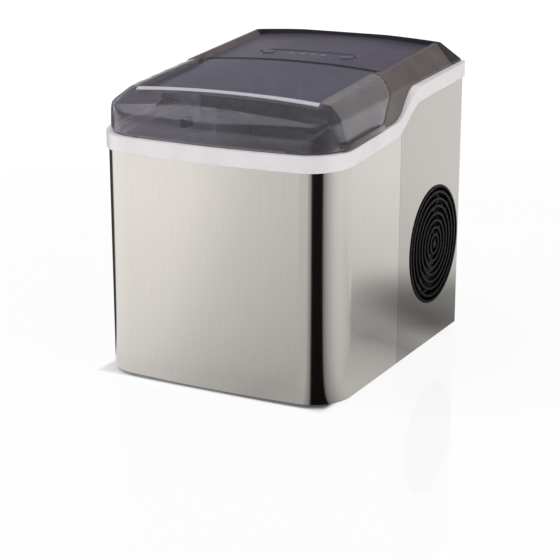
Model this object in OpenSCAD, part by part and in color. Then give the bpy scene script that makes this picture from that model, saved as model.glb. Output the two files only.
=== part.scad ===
/* [Cabinet] */
// Width over the steel side walls
body_w = 238; // [225:1:260]
// Depth from the front centre to the rear panel
body_d = 289; // [285:1:310]
// Radius of the two front corners, seen from above
corner_r = 36; // [24:1:44]
// How far the front bulges out between its corners
front_bow = 7; // [4:0.5:10]
// Radius of the two rear corners
rear_r = 7; // [5:1:12]
// Thickness of the steel sheet
skin_t = 0.8; // [0.6:0.1:1.2]
// Height of the rubber feet below the cabinet
foot_h = 4; // [3:0.5:8]
// Diameter of each foot
foot_d = 24; // [16:1:30]

/* [Trim band] */
// Height of the band's top edge at the front
trim_front_z = 222.5; // [219:0.5:226]
// Height of the band's top edge at the rear
trim_rear_z = 266; // [263:0.5:268]
// Height of the band itself
trim_h = 14; // [12:0.5:18]
// How far the band stands out from the steel
trim_out = 2; // [1.5:0.1:3]
// Thickness of the ledge that carries the lid
ledge_t = 3; // [2.4:0.2:3.6]

/* [Lid and deck] */
// Wall of the moulded lid and deck
wall = 2.5; // [2:0.1:3]
// Distance of the top ridge in from each side wall
ridge_in = 19.5; // [18:0.5:22]
// Height of the ridge above the seat of the feet, halfway back
ridge_z = 273.2; // [271:0.2:276]
// Depth of the recessed top panel
recess_depth = 4.2; // [3.5:0.1:5]
// Length of the finger tabs
tab_l = 72; // [50:1:80]

/* [Controls] */
// Diameter of the two push buttons
button_d = 13; // [10:0.5:15]
// Distance between the two buttons
button_pitch = 82; // [70:1:90]
// Number of indicator windows
lamp_count = 4; // [3:1:5]

/* [Vents and fan] */
// Steel left between each round vent and the rear edge
vent_margin = 9.5; // [8:0.5:14]
// Number of ring ribs in a vent
ring_count = 7; // [5:1:8]
// Width of one ring rib
ring_w = 2.2; // [1.8:0.1:2.8]
// Number of fan blades
blade_count = 7; // [5:1:9]

/* [Ice making] */
// Number of freezing fingers in the front row
finger_count = 5; // [3:1:5]
// Room between the last finger and the end wall of the tray
finger_gap = 6.5; // [4:0.5:10]
// Diameter of one finger
finger_d = 8; // [6:0.5:9]
// Room between the ice basket and each side wall of the tub
basket_gap = 10.5; // [8:0.5:24]
// Height of the ice basket
basket_h = 78; // [60:1:84]

/* [Hidden] */

// roundness
arc_n = 96;
big_n = 720;
hull_n = 32;
far = 400;
fit = 0.15;
run = 0.06;

// cabinet frame
half_w = body_w / 2;
front_y = -body_d / 2;
rear_y = body_d / 2;
seam_y = -5;
bow_r = (half_w * half_w + front_bow * front_bow) / (2 * front_bow);
bow_y = front_y + bow_r;
pan_t = 2;
pan_wall = 2;
pan_h = 18;
foot_inset_x = 34;
foot_inset_front = 48;
foot_inset_rear = 30;
foot_peg_r = 4;

// trim line, seen from the side: two straight runs joined by a smooth step
front_rise = 0.082;
rear_rise = 0.068;
step_y0 = -20;
step_y1 = 34;
skirt_t = 2;
skirt_h = 11;
ledge_w = 10;
seat_gap = 0.3;

// upper moulding
crown_r = 1000;
top_rise = 0.09;
ridge_x = half_w - ridge_in;
ridge_sag = ridge_x * ridge_x / (2 * crown_r);
crown_z = ridge_z + ridge_sag;
upper_slope = 1.18;
crease_x = half_w - 7;
crease_z = ridge_z - upper_slope * (crease_x - ridge_x);
lower_slope = 3.3;
lower_rise = 0.13;
rear_bevel_y = rear_y - 17.5;
rear_bevel_a = 47;
top_inset = 1;
nose_r = 26;
nose_bevel_a = 26;
nose_bevel_y = front_y + 34.5;
nose_front_y = front_y + 2.2;
recess_x = ridge_x - 9;
recess_flare = 1.1;
recess_front_y = nose_bevel_y + 3;
recess_rear_y = rear_bevel_y - 3;
panel_t = 1.5;

// seam between lid and deck, seen from the side
seam_top_y = 13;
seam_gap = 2.8;
seam_high = ridge_z + 57;
seam_low = trim_front_z - 42;
seam_side = [
    [-9.6, seam_high], [-9.6, 272], [-14.5, 257.6], [-45.3, 231.5], [-45.3, seam_low]
];
seam_side_gap = 1.6;
seam_half_x = recess_x - 0.3;
seam_x_gap = 0.7;

// lid hinge
hinge_y = 0.2;
hinge_z = 267.2;
hinge_pin_r = 1.5;
knuckle_r = 3.2;
knuckle_l = 9;
lug_t = 4;
pin_l = 11;
pin_reach = seam_half_x + seam_x_gap + lug_t;

// lid tabs
tab_y = front_y + 60.5;
tab_z = 228;
tab_h = 6;
tab_out = 2.4;
tab_clear = 0.5;

// controls
control_y = 44;
button_proud = 1;
button_travel = 0.8;
button_stem_d = 5;
lozenge_w = 104;
lozenge_d = 20;
lozenge_deep = 0.5;
lamp_pitch = 11;
lamp_w = 6;
control_deep = 30;
board_z = 265.2;
board_t = 1.6;
board_w = button_pitch + 38;
board_d = 56;
board_y = control_y - 16;

// inner tub
tub_wall = 2.5;
tub_x = half_w - 16;
tub_front_y = front_y + 15;
tub_rear_y = 12;
tub_z = 34;
tub_r = 20;
collar_inset = 4;
collar_gap = 0.1;
collar_drop = ledge_t + collar_gap + tub_wall;
foam_gap = 0.3;
bulk_y = tub_rear_y + 8;
bulk_t = 1;

// ice mechanism, placed from the tray shaft
shaft_y = 62;
shaft_z = 236;
shaft_r = 3;
alcove_in = tub_x - 23;
shovel_x = alcove_in - 6.5;
tray_half = shovel_x - 5.5;
tray_front = 42.5;
tray_floor = 28.5;
tray_wall = 2.5;
tray_back = 2.5;
tray_corner = 8;
row_front = 32;
row_rear = 12;
finger_pitch =
    2 * (tray_half - tray_wall - finger_d / 2 - finger_gap) / (finger_count - 1);
finger_tip = 18;
header_rise = 20;
header_r = 5;
header_left = tray_half - 8;
header_right = tray_half - 2;
shovel_in = 51;
shovel_out = 62;
shovel_t = 2.5;
shovel_rest = 15;
alcove_floor = shaft_z - shovel_out - 3;
alcove_rear = shaft_y + 29;
alcove_top = shaft_z + 16;
bush_r = 5;
bracket_z = shaft_z + header_rise + header_r + 1;
bracket_t = 2;
nozzle_z = shaft_z + 10;
nozzle_l = 9;
motor_w = 44;
motor_h = 34;
motor_l = 18;

// basket
basket_front = tub_front_y + tub_wall + 4;
basket_rear = tub_rear_y - tub_wall - 4;
basket_drop = 6;
basket_top = 203;
basket_w = 2 * (tub_x - tub_wall - basket_gap);
basket_wall = 2;
basket_lip = 5;
slot_w = 4.5;
slot_pitch = 11;
ledge_rib_h = 4;

// machine room
room_y = bulk_y + bulk_t;
vent_r = (rear_y - vent_margin - room_y) / 2;
fan_y = room_y + vent_r;
fan_z = 99.2;
shroud_r = vent_r - 8;
rotor_r = shroud_r - 3;
shroud_d = 18;
shroud_x = half_w - 9;
grille_t = 3.4;
grille_flange = 2;
cond_x1 = shroud_x - shroud_d - 14;
cond_x0 = cond_x1 - 22;
cond_z0 = 42;
cond_z1 = 156;
fin_count = 15;
fin_t = 0.8;
coil_r = 3;
coil_rows = 6;
coil_stub = 3;
coil_pitch = (cond_z1 - cond_z0 - 16) / (coil_rows - 1);
coil_x = (cond_x0 + cond_x1) / 2;
coil_reach = coil_pitch / 2 + coil_r + coil_stub + 1;
cond_y0 = room_y + coil_reach;
cond_y1 = rear_y - skin_t - coil_reach;
pump_x = 13 - tub_x;
comp_x = pump_x + 60;
start_box_d = 10;
comp_room_front = 6;
comp_room_rear = 17.5;
comp_r = (rear_y - comp_room_rear - room_y - comp_room_front - start_box_d) / 2;
comp_y = rear_y - comp_room_rear - comp_r;
comp_h = 108;
comp_dome_z = comp_h - comp_r - 3;
comp_mount_h = 10;
comp_bolt_r = comp_r + 1;
pipe_r = 2.5;
pipe_bend = 2 * pipe_r;
pipe_z = 161;
return_z = 176;
valve_x = comp_x + comp_r + 14;
valve_y = alcove_rear + 9;
valve_z = 200;
drier_x = 20;
drier_y = rear_y - 14;
drier_z = 66;

// water circuit
pump_y = 46;
pump_r = 14;
pump_h = 44;
pump_in_x = pump_x + 12;
pump_in_z = tub_z + 9;
pump_out_x = pump_x - 6;
hose_r = 3.5;
hose_t = 1.5;
hose_bend = hose_r + hose_t + 2;
drain_bend = hose_r + 0.5;
float_x = 60;
float_y = -6;
drain_x = cond_x0 - 12;
drain_z = 20;
drain_in_z = tub_z + 8;
spout_r = 7;
spout_bore = 5;
spout_l = 26;
plug_r = 10;
plug_l = 12;
plug_t = trim_out - 0.3;
plug_clear = 0.08;
gland_x = 49 - half_w;
gland_z = 34;
gland_bore = 4;

// mains board behind the tub
power_x = 19 - half_w;
power_y = rear_y - 12;
power_z = 170;
power_w = 60;
power_h = 70;

function trim_front_line(y) = trim_front_z + front_rise * (y - front_y);
function trim_rear_line(y) = trim_rear_z - rear_rise * (rear_y - y);
function smooth(t) = t * t * (3 - 2 * t);
function step_share(y) = smooth(min(1, max(0, (y - step_y0) / (step_y1 - step_y0))));
function trim_line(y) =
    trim_front_line(y) * (1 - step_share(y)) + trim_rear_line(y) * step_share(y);
function crown_top(x, y) = crown_z + top_rise * y - x * x / (2 * crown_r);
function unit(v) = v / norm(v);

// ---------- shared shapes ----------

// Plan outline of the cabinet, moved inward by inset
module outline(inset = 0) {
    w = half_w - inset;
    r = max(corner_r - inset, 1);
    arc_r = bow_r - inset;
    cx = w - r;
    cy = bow_y - sqrt((arc_r - r) * (arc_r - r) - cx * cx);
    dir = unit([cx, cy - bow_y]);
    rr = max(rear_r - inset, 1);
    back = rear_y - inset;
    difference() {
        intersection() {
            translate([-w, front_y - 5]) square([2 * w, back - front_y + 5]);
            translate([0, bow_y]) circle(r = arc_r, $fn = big_n);
        }
        for (s = [-1, 1]) scale_x(s) {
            difference() {
                polygon([
                    [cx, cy], [w + 5, cy], [w + 5, front_y - 9],
                    [dir[0] * (arc_r + 4), bow_y + dir[1] * (arc_r + 4)]
                ]);
                translate([cx, cy]) circle(r = r, $fn = arc_n);
            }
            translate([w - rr, back - rr]) difference() {
                square(rr + 5);
                circle(r = rr, $fn = arc_n);
            }
        }
    }
}

// Left or right copy of something drawn on the right
module scale_x(s) {
    if (s < 0) mirror([1, 0, 0]) children();
    else children();
}

module outline_ring(outer, inner, z0, z1) {
    translate([0, 0, z0]) linear_extrude(z1 - z0) difference() {
        outline(outer);
        outline(inner);
    }
}

// Everything below the trim line, shifted up by dz
module below_trim(dz, low = -5) {
    steps = 20;
    y0 = front_y - 20;
    y1 = rear_y + 20;
    curve = [for (i = [0:steps]) let (y = step_y0 + (step_y1 - step_y0) * i / steps)
        [y, trim_line(y) + dz]];
    points = concat(
        [[y0, low], [y0, trim_line(y0) + dz]], curve, [[y1, trim_line(y1) + dz], [y1, low]]
    );
    translate([-far / 2, 0, 0]) rotate([90, 0, 90]) linear_extrude(far) polygon(points);
}

module trim_band(dz0, dz1) {
    intersection() {
        children();
        difference() {
            below_trim(dz1);
            below_trim(dz0, -6);
        }
    }
}

// Keeps the part of its children between two depths
module between_y(y0, y1, z0 = -10, z1 = 400) {
    intersection() {
        children();
        translate([-far / 2, y0, z0]) cube([far, y1 - y0, z1 - z0]);
    }
}

// Straight rod from one end to the other along X
module rod_x(x0, x1, y, z, r) {
    translate([x0, y, z]) rotate([0, 90, 0]) cylinder(r = r, h = x1 - x0, $fn = arc_n / 2);
}

module rod_y(y0, y1, x, z, r) {
    translate([x, y0, z]) rotate([-90, 0, 0]) cylinder(r = r, h = y1 - y0, $fn = arc_n / 2);
}

module rod_z(z0, z1, x, y, r) {
    translate([x, y, z0]) cylinder(r = r, h = z1 - z0, $fn = arc_n / 2);
}

// Bar with a round outline, given by its corners and corner radius
module round_bar(size, r) {
    linear_extrude(size[2]) round_square([size[0], size[1]], r);
}

module round_square(size, r) {
    x = size[0] / 2;
    y = size[1] / 2;
    square([size[0] - 2 * r, size[1]], center = true);
    square([size[0], size[1] - 2 * r], center = true);
    for (sx = [-1, 1], sy = [-1, 1])
        translate([sx * (x - r), sy * (y - r)]) circle(r = r, $fn = arc_n / 2);
}

// Slot with round ends, w wide and l long
module slot(w, l) {
    square([w, l - w], center = true);
    for (s = [-1, 1]) translate([0, s * (l - w) / 2]) circle(d = w, $fn = 32);
}

// Tube that follows straight runs joined by quarter bends
module pipe(points, r, bend) {
    last = len(points) - 1;
    for (i = [0:last - 1]) {
        d = unit(points[i + 1] - points[i]);
        a = points[i] + (i > 0 ? d * bend : d * 0);
        b = points[i + 1] - (i < last - 1 ? d * bend : d * 0);
        along(a, d) cylinder(r = r, h = norm(b - a), $fn = 24);
    }
    if (last > 1) for (i = [1:last - 1]) {
        d_in = unit(points[i] - points[i - 1]);
        d_out = unit(points[i + 1] - points[i]);
        c = points[i] - d_in * bend + d_out * bend;
        n = cross(d_in, -d_out);
        multmatrix([
            [d_in[0], -d_out[0], n[0], c[0]],
            [d_in[1], -d_out[1], n[1], c[1]],
            [d_in[2], -d_out[2], n[2], c[2]],
            [0, 0, 0, 1]
        ]) rotate_extrude(angle = 90, $fn = 48) translate([bend, 0]) circle(r = r, $fn = 24);
    }
}

// Places +Z along one of the six main directions
module along(p, d) {
    turn = abs(d[2]) > 0.5 ? [d[2] > 0 ? 0 : 180, 0, 0]
        : abs(d[0]) > 0.5 ? [0, d[0] > 0 ? 90 : -90, 0]
        : [d[1] > 0 ? -90 : 90, 0, 0];
    translate(p) rotate(turn) children();
}

// ---------- upper moulding shared by lid and deck ----------

// Half space above a plane through [x, 0, z], falling outward and rising rearward
module above_plane(x, z, fall, rise, inset) {
    n = [fall, -rise, 1];
    translate([x, 0, z]) rotate([0, acos(1 / norm(n)), atan2(n[1], n[0])])
        translate([-far, -far, -inset]) cube([2 * far, 2 * far, 200]);
}

// Everything above the crown, lowered by drop
module over_crown(drop) {
    translate([0, far, crown_z - drop + top_rise * far]) rotate([90 + atan(top_rise), 0, 0])
        linear_extrude(2 * far) difference() {
            translate([-far / 2, -25]) square([far, 100]);
            translate([0, -crown_r]) circle(r = crown_r, $fn = big_n);
        }
}

// Side view of the rounded front, swept across the width
module nose_block(inset) {
    r = nose_r - inset;
    fy = nose_front_y + inset;
    cy = nose_front_y + nose_r;
    slope = tan(nose_bevel_a);
    bevel_z = crown_top(0, nose_bevel_y) - nose_bevel_y * slope - inset / cos(nose_bevel_a);
    cz = bevel_z + cy * slope - r / cos(nose_bevel_a);
    tangent = [cy - r * sin(nose_bevel_a), cz + r * cos(nose_bevel_a)];
    top_y = 250;
    translate([-far / 2, 0, 0]) rotate([90, 0, 90]) linear_extrude(far) difference() {
        polygon([
            [fy, 100], [fy, bevel_z + fy * slope], [top_y, bevel_z + top_y * slope], [top_y, 100]
        ]);
        difference() {
            polygon([
                [cy, cz], [fy - 3, cz], [fy - 3, tangent[1] + 9],
                [cy - (r + 9) * sin(nose_bevel_a), cz + (r + 9) * cos(nose_bevel_a)]
            ]);
            translate([cy, cz]) circle(r = r, $fn = arc_n);
        }
    }
}

module upper_body(inset = 0) {
    difference() {
        intersection() {
            translate([0, 0, seam_low]) linear_extrude(seam_high - seam_low)
                outline(top_inset + inset);
            nose_block(inset);
        }
        over_crown(inset);
        for (s = [-1, 1]) scale_x(s) {
            above_plane(ridge_x, ridge_z, upper_slope, top_rise, inset);
            above_plane(crease_x, crease_z, lower_slope, lower_rise, inset);
        }
        translate([0, rear_bevel_y, crown_top(ridge_x, rear_bevel_y)])
            rotate([-rear_bevel_a, 0, 0])
                translate([-far, -far, -inset]) cube([2 * far, 2 * far, 200]);
    }
}

// Space of the sunk top panel, from its floor upward
module recess(grow = 0, y0 = recess_front_y, y1 = recess_rear_y) {
    x0 = recess_x + grow;
    floor_z = -recess_depth - ridge_sag;
    high = 6;
    flare = recess_flare * (high - floor_z);
    intersection() {
        translate([0, 0, crown_z]) rotate([90 + atan(top_rise), 0, 0])
            translate([0, 0, -y1 - grow]) linear_extrude(y1 - y0 + 2 * grow) polygon([
                [-x0, floor_z - 12], [x0, floor_z - 12], [x0, floor_z],
                [x0 + flare, high], [-x0 - flare, high], [-x0, floor_z]
            ]);
        over_crown(recess_depth + grow);
    }
}

// Region that belongs to the lid; grow widens it into the gap and the deck
module lid_zone(grow_side = 0, grow_top = 0, grow_x = 0) {
    translate([-far / 2, 0, 0]) rotate([90, 0, 90]) linear_extrude(far) polygon(concat(
        [for (p = seam_side) [p[0] + grow_side, p[1]]], [[-far, seam_low], [-far, seam_high]]
    ));
    translate([-seam_half_x - grow_x, -60, 252 - grow_top])
        cube([2 * (seam_half_x + grow_x), 60 + seam_top_y + grow_top, 60 + grow_top]);
}

// Hollow moulding with a sunk panel whose floor is floor_t thick
module moulded_shell(floor_t) {
    difference() {
        upper_body(0);
        difference() {
            upper_body(wall);
            recess(floor_t);
        }
        recess(0);
        below_trim(seat_gap);
    }
}

// ---------- cabinet ----------

module base_pan() {
    color("dimgray") difference() {
        union() {
            translate([0, 0, foot_h]) linear_extrude(pan_t) outline(skin_t + fit);
            outline_ring(skin_t + fit, skin_t + fit + pan_wall, foot_h, foot_h + pan_h);
        }
        at_feet() cylinder(r = foot_peg_r, h = 3 * foot_h + pan_t, $fn = arc_n / 2);
        at_compressor_mounts() translate([0, 0, foot_h - 1])
            cylinder(r = 2.6, h = pan_t + 2, $fn = arc_n / 4);
        at_rear_screws() rotate([90, 0, 0]) cylinder(r = 1.7, h = 16, center = true, $fn = 24);
        // opening in the pan wall behind the drain spout
        rod_y(rear_y - 8, rear_y + 2, drain_x, drain_z, spout_r + 2);
    }
}

module at_feet() {
    for (x = [-1, 1], y = [front_y + foot_inset_front, rear_y - foot_inset_rear])
        translate([x * (half_w - foot_inset_x), y, 0]) children();
}

module feet() {
    color("black") at_feet() {
        difference() {
            cylinder(d = foot_d, h = foot_h, $fn = arc_n / 2);
            translate([0, 0, -1]) cylinder(d = foot_d / 3, h = 2, $fn = arc_n / 4);
        }
        cylinder(r = foot_peg_r - fit, h = foot_h + pan_t, $fn = arc_n / 4);
        translate([0, 0, foot_h + pan_t]) cylinder(r = foot_peg_r + 1.5, h = 2, $fn = arc_n / 4);
    }
}

skin_drop = ledge_t + 0.2;

module skin(y0, y1) {
    between_y(y0, y1) trim_band(-far, -skin_drop)
        outline_ring(0, skin_t, foot_h, trim_rear_z);
}

module front_wrap() {
    color("gainsboro") {
        skin(front_y - 10, seam_y - fit);
        // lap strips that the side panels are riveted to
        for (s = [-1, 1]) scale_x(s)
            translate([half_w - 2 * skin_t - fit, seam_y - 12, foot_h + pan_h + 2])
                cube([skin_t + fit, 12 - fit, trim_front_z - trim_h - pan_h - foot_h - 6]);
    }
}

module side_panel(s) {
    color("silver") scale_x(s) difference() {
        intersection() {
            skin(seam_y + fit, rear_y + 1);
            translate([half_w - rear_r - 6, seam_y, 0]) cube([rear_r + 10, body_d, far]);
        }
        rod_x(half_w - 6, half_w + 4, fan_y, fan_z, vent_r + 0.3);
    }
}

module side_panel_right() side_panel(1);
module side_panel_left() side_panel(-1);

rear_half = half_w - rear_r - 6 - fit;
louvre_count = 9;
louvre_pitch = 9;
louvre_l = 64;

module rear_panel() {
    color("silver") difference() {
        intersection() {
            skin(rear_y - skin_t - 1, rear_y + 1);
            translate([-rear_half, 0, 0]) cube([2 * rear_half, body_d, far]);
        }
        for (i = [0:louvre_count - 1], x = [-42, 42])
            translate([x, rear_y + 2, 118 + i * louvre_pitch]) rotate([90, 0, 0])
                linear_extrude(6) rotate([0, 0, 90]) slot(3.6, louvre_l);
        rod_y(rear_y - 4, rear_y + 2, drain_x, drain_z, spout_r + fit);
        rod_y(rear_y - 4, rear_y + 2, gland_x, gland_z, gland_bore + 4 + fit);
        at_rear_screws() rotate([90, 0, 0]) cylinder(r = 1.8, h = 6, center = true, $fn = 24);
    }
}

module at_rear_screws() {
    for (x = [-rear_half + 8, rear_half - 8], z = [foot_h + 12, 110, 220])
        translate([x, rear_y, z]) children();
}

// Round grille: a rim, ring ribs and four diagonal spokes
module vent_grille() {
    pitch = (vent_r - ring_w) / (ring_count + 1);
    hub_r = pitch / 2;
    color("black") translate([half_w - skin_t - grille_t + 1.6, fan_y, fan_z]) rotate([0, 90, 0]) {
        // flange behind the steel
        difference() {
            cylinder(r = vent_r + grille_flange, h = grille_t - 1.6 - fit, $fn = arc_n);
            translate([0, 0, -1]) cylinder(r = vent_r - ring_w, h = grille_t, $fn = arc_n);
        }
        for (i = [1:ring_count + 1]) {
            r_out = i > ring_count ? vent_r : hub_r + i * pitch;
            difference() {
                cylinder(r = r_out, h = grille_t, $fn = arc_n);
                translate([0, 0, -1]) cylinder(r = r_out - ring_w, h = grille_t + 2, $fn = arc_n);
            }
        }
        cylinder(r = hub_r, h = grille_t, $fn = arc_n / 2);
        intersection() {
            cylinder(r = vent_r - ring_w / 2, h = grille_t - 1.4, $fn = arc_n);
            for (a = [45, 135]) rotate([0, 0, a])
                translate([-vent_r, -1.5, 0]) cube([2 * vent_r, 3, grille_t]);
        }
    }
}

module vent_grille_right() vent_grille();
module vent_grille_left() mirror([1, 0, 0]) vent_grille();

module trim_ring() {
    color("whitesmoke") {
        trim_band(-trim_h, 0) outline_ring(-trim_out, -fit, 150, far);
        trim_band(-ledge_t, 0) outline_ring(-trim_out, ledge_w, 150, far);
        trim_band(-skirt_h, -ledge_t)
            outline_ring(skin_t + fit, skin_t + fit + skirt_t, 150, far);
    }
}

// ---------- deck ----------

module deck_housing() {
    apron_y = seam_top_y + seam_gap;
    color("dimgray") difference() {
        union() {
            difference() {
                moulded_shell(wall + panel_t);
                lid_zone(seam_side_gap, 0, seam_x_gap);
                translate([-seam_half_x - seam_x_gap, -60, 240])
                    cube([2 * (seam_half_x + seam_x_gap), 60 + apron_y, 60]);
                // seat of the top panel
                recess_plate(-1, panel_t + 0.1, fit);
            }
            // apron behind the lid's rear edge
            difference() {
                intersection() {
                    upper_body(wall / 2);
                    translate([-seam_half_x, apron_y, bracket_z + bracket_t + 0.2])
                        cube([2 * seam_half_x, wall, 40]);
                }
                recess(panel_t + 0.6);
            }
            // posts that carry the control board
            difference() {
                intersection() {
                    upper_body(wall / 2);
                    at_board_posts() cylinder(r = 3, h = 40, $fn = arc_n / 4);
                }
                recess(panel_t + 0.6);
            }
            // lugs that carry the hinge pins
            for (s = [-1, 1]) scale_x(s) intersection() {
                upper_body(wall / 2);
                translate([seam_half_x + seam_x_gap, hinge_y - 5, hinge_z - 5])
                    cube([lug_t, 10, 20]);
            }
        }
        rod_x(-pin_reach, pin_reach, hinge_y, hinge_z, hinge_pin_r);
        control_holes(lamp_w - 1, 2.4);
    }
}

// Plate on the recess floor, from depth drop to depth t below the crown
module recess_plate(drop, t, grow) {
    y0 = seam_top_y + seam_gap;
    difference() {
        intersection() {
            translate([-recess_x + 0.5 - grow, y0 - grow, 240])
                cube([2 * (recess_x - 0.5 + grow), recess_rear_y - y0 - 1.2 + 2 * grow, 60]);
            over_crown(recess_depth + t);
        }
        over_crown(recess_depth + drop);
    }
}

module lozenge() {
    x = lozenge_w / 2;
    y = lozenge_d / 2;
    linear_extrude(60) translate([0, control_y]) polygon([
        [-x, 0], [-x + y, -y], [x - y, -y], [x, 0], [x - y, y], [-x + y, y]
    ]);
}

module deck_panel() {
    color("darkslateblue") difference() {
        recess_plate(0, panel_t, -fit);
        intersection() {
            translate([0, 0, 240]) lozenge();
            over_crown(recess_depth + lozenge_deep);
        }
        control_holes(lamp_w + 0.4, 3.4);
    }
}

function control_z(x) = crown_top(x, control_y) - recess_depth - lozenge_deep;

module at_buttons() {
    for (s = [-1, 1]) translate([s * button_pitch / 2, control_y, 0]) children();
}

module at_lamps() {
    for (i = [0:lamp_count - 1])
        translate([(i - (lamp_count - 1) / 2) * lamp_pitch, control_y, 0]) children();
}

// Holes for the buttons, and for lamp windows of the given size
module control_holes(w, d) {
    at_buttons() translate([0, 0, board_z])
        cylinder(d = button_d + 0.8, h = control_deep, $fn = arc_n / 2);
    at_lamps() translate([-w / 2, -d / 2, board_z]) cube([w, d, control_deep]);
}

module indicator_lenses() {
    color("lightyellow") for (i = [0:lamp_count - 1]) {
        x = (i - (lamp_count - 1) / 2) * lamp_pitch;
        translate([x, control_y, control_z(x) - 0.45])
            cube([lamp_w, 3, 0.9], center = true);
    }
}

module at_board_posts() {
    for (x = [-board_w / 2 + 5, board_w / 2 - 5], y = [board_y + 5, board_y + board_d - 5])
        translate([x, y, board_z + board_t]) children();
}

module push_button(s) {
    x = s * button_pitch / 2;
    top = control_z(x) + button_proud;
    color("gray") translate([x, control_y, 0]) {
        translate([0, 0, top - 3.2]) rotate_extrude($fn = arc_n / 2) polygon([
            [0, 0], [button_d / 2, 0], [button_d / 2, 2.4], [button_d / 2 - 0.8, 3.2],
            [button_d / 2 - 2, 3], [0, 2.7]
        ]);
        rod_z(board_z + board_t + 3.2 + button_travel, top - 2, 0, 0, button_stem_d / 2);
    }
}

module power_button() push_button(-1);
module select_button() push_button(1);

module control_board() {
    color("darkgreen") {
        translate([-board_w / 2, board_y, board_z]) cube([board_w, board_d, board_t]);
        // tact switches under the buttons
        for (s = [-1, 1]) translate([s * button_pitch / 2, control_y, board_z + board_t]) {
            translate([-3, -3, 0]) cube([6, 6, 2.4]);
            cylinder(d = 3.4, h = 3, $fn = 24);
        }
        // lamps and the connector
        at_lamps() translate([0, 0, board_z + board_t]) cylinder(d = 3, h = 2, $fn = 24);
        translate([-12, control_y + 26, board_z + board_t]) cube([24, 6, 2]);
    }
}

// ---------- lid ----------

module lid() {
    color([0.35, 0.33, 0.42, 0.55]) difference() {
        union() {
            intersection() {
                moulded_shell(wall);
                lid_zone();
            }
            for (s = [-1, 1]) scale_x(s) {
                finger_tab();
                // knuckle under the panel, joined by a web
                rod_x(seam_half_x - knuckle_l, seam_half_x, hinge_y, hinge_z, knuckle_r);
                intersection() {
                    upper_body(wall / 2);
                    translate([seam_half_x - knuckle_l, hinge_y - knuckle_r, hinge_z])
                        cube([knuckle_l, 2 * knuckle_r, 30]);
                }
            }
        }
        recess(0);
        for (s = [-1, 1]) scale_x(s)
            rod_x(seam_half_x - knuckle_l - 1, seam_half_x + 1, hinge_y, hinge_z,
                hinge_pin_r + run);
    }
}

module finger_tab() {
    x1 = half_w + trim_out + tab_out;
    difference() {
        translate([half_w - 6, tab_y - tab_l / 2, tab_z]) cube([x1 - half_w + 6, tab_l, tab_h]);
        below_trim(seat_gap + 0.1);
        upper_body(wall);
        translate([x1 - 3.2, tab_y - tab_l / 2 + 4, tab_z + tab_h - 1.4])
            cube([1.6, tab_l - 8, 3]);
    }
    // lip that hangs outside the band
    intersection() {
        translate([half_w + trim_out + tab_clear, tab_y - tab_l / 2, tab_z])
            cube([tab_out - tab_clear, tab_l, tab_h]);
        below_trim(5);
    }
}

module hinge_pins() {
    color("silver") for (s = [-1, 1]) scale_x(s)
        rod_x(pin_reach - pin_l, pin_reach, hinge_y, hinge_z, hinge_pin_r);
}

// ---------- inner tub ----------

module tub_block(inset, z0) {
    x = tub_x - inset;
    y0 = tub_front_y + inset;
    y1 = tub_rear_y - inset;
    translate([0, (y0 + y1) / 2, z0]) round_bar([2 * x, y1 - y0, far - z0], tub_r - inset);
}

module alcove_block(inset, z0, y0) {
    x = alcove_in + tub_wall - inset;
    translate([-x, y0, z0]) cube([2 * x, alcove_rear + tub_wall - inset - y0, far - z0]);
}

module inner_liner() {
    color("lightgray") difference() {
        union() {
            trim_band(-far, -collar_drop) tub_block(0, tub_z);
            alcove_shell();
        }
        tub_block(tub_wall, tub_z + tub_wall);
        alcove_block(tub_wall, alcove_floor, tub_rear_y - 2 * tub_wall);
        // bores for the tray shaft's bushes
        rod_x(-alcove_in - 8, alcove_in + 8, shaft_y, shaft_z, bush_r);
        // water inlet and outlet
        rod_x(-alcove_in - 8, -alcove_in + 4, pump_y, nozzle_z, hose_r + fit);
        rod_y(tub_rear_y - 8, tub_rear_y + 4, pump_in_x, pump_in_z, hose_r + fit);
        rod_y(tub_rear_y - 8, tub_rear_y + 4, drain_x, drain_in_z, hose_r + fit);
    }
    // ribs that carry the basket
    color("lightgray") for (s = [-1, 1]) scale_x(s)
        translate([basket_w / 2 + 1, basket_front + 12, basket_top - 2.7 - ledge_rib_h])
            cube([tub_x - tub_wall - basket_w / 2 - 1, basket_rear - basket_front - 50,
                ledge_rib_h]);
}

// Outer shape of the alcove, up to the bracket's skirt
module alcove_shell() {
    intersection() {
        alcove_block(0, alcove_floor - tub_wall, tub_rear_y - tub_wall);
        translate([-far / 2, 0, 0]) cube([far, body_d, alcove_top]);
    }
}

// Collar that stands on the tub's rim and reaches out under the trim band
module tub_collar() {
    color("lightgray") difference() {
        trim_band(-collar_drop, -ledge_t - collar_gap) union() {
            tub_block(0, tub_z);
            between_y(front_y, tub_rear_y) outline_ring(collar_inset, 30, 100, far);
        }
        tub_block(tub_wall, tub_z + tub_wall);
        alcove_shell();
    }
}

module liner_insulation() {
    color("khaki") difference() {
        trim_band(-far, -skirt_h - 2) translate([0, 0, foot_h + pan_h + 1])
            linear_extrude(far) outline(skin_t + 2.5);
        translate([-far / 2, bulk_y - 0.2, 0]) cube([far, body_d, far]);
        tub_block(-foam_gap, tub_z - foam_gap);
        alcove_block(-foam_gap, alcove_floor - tub_wall - foam_gap, tub_rear_y - 10);
        rod_y(tub_rear_y - 2, bulk_y + 2, pump_in_x, pump_in_z, hose_r + fit);
        rod_y(tub_rear_y - 2, bulk_y + 2, drain_x, drain_in_z, hose_r + fit);
    }
}

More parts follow.
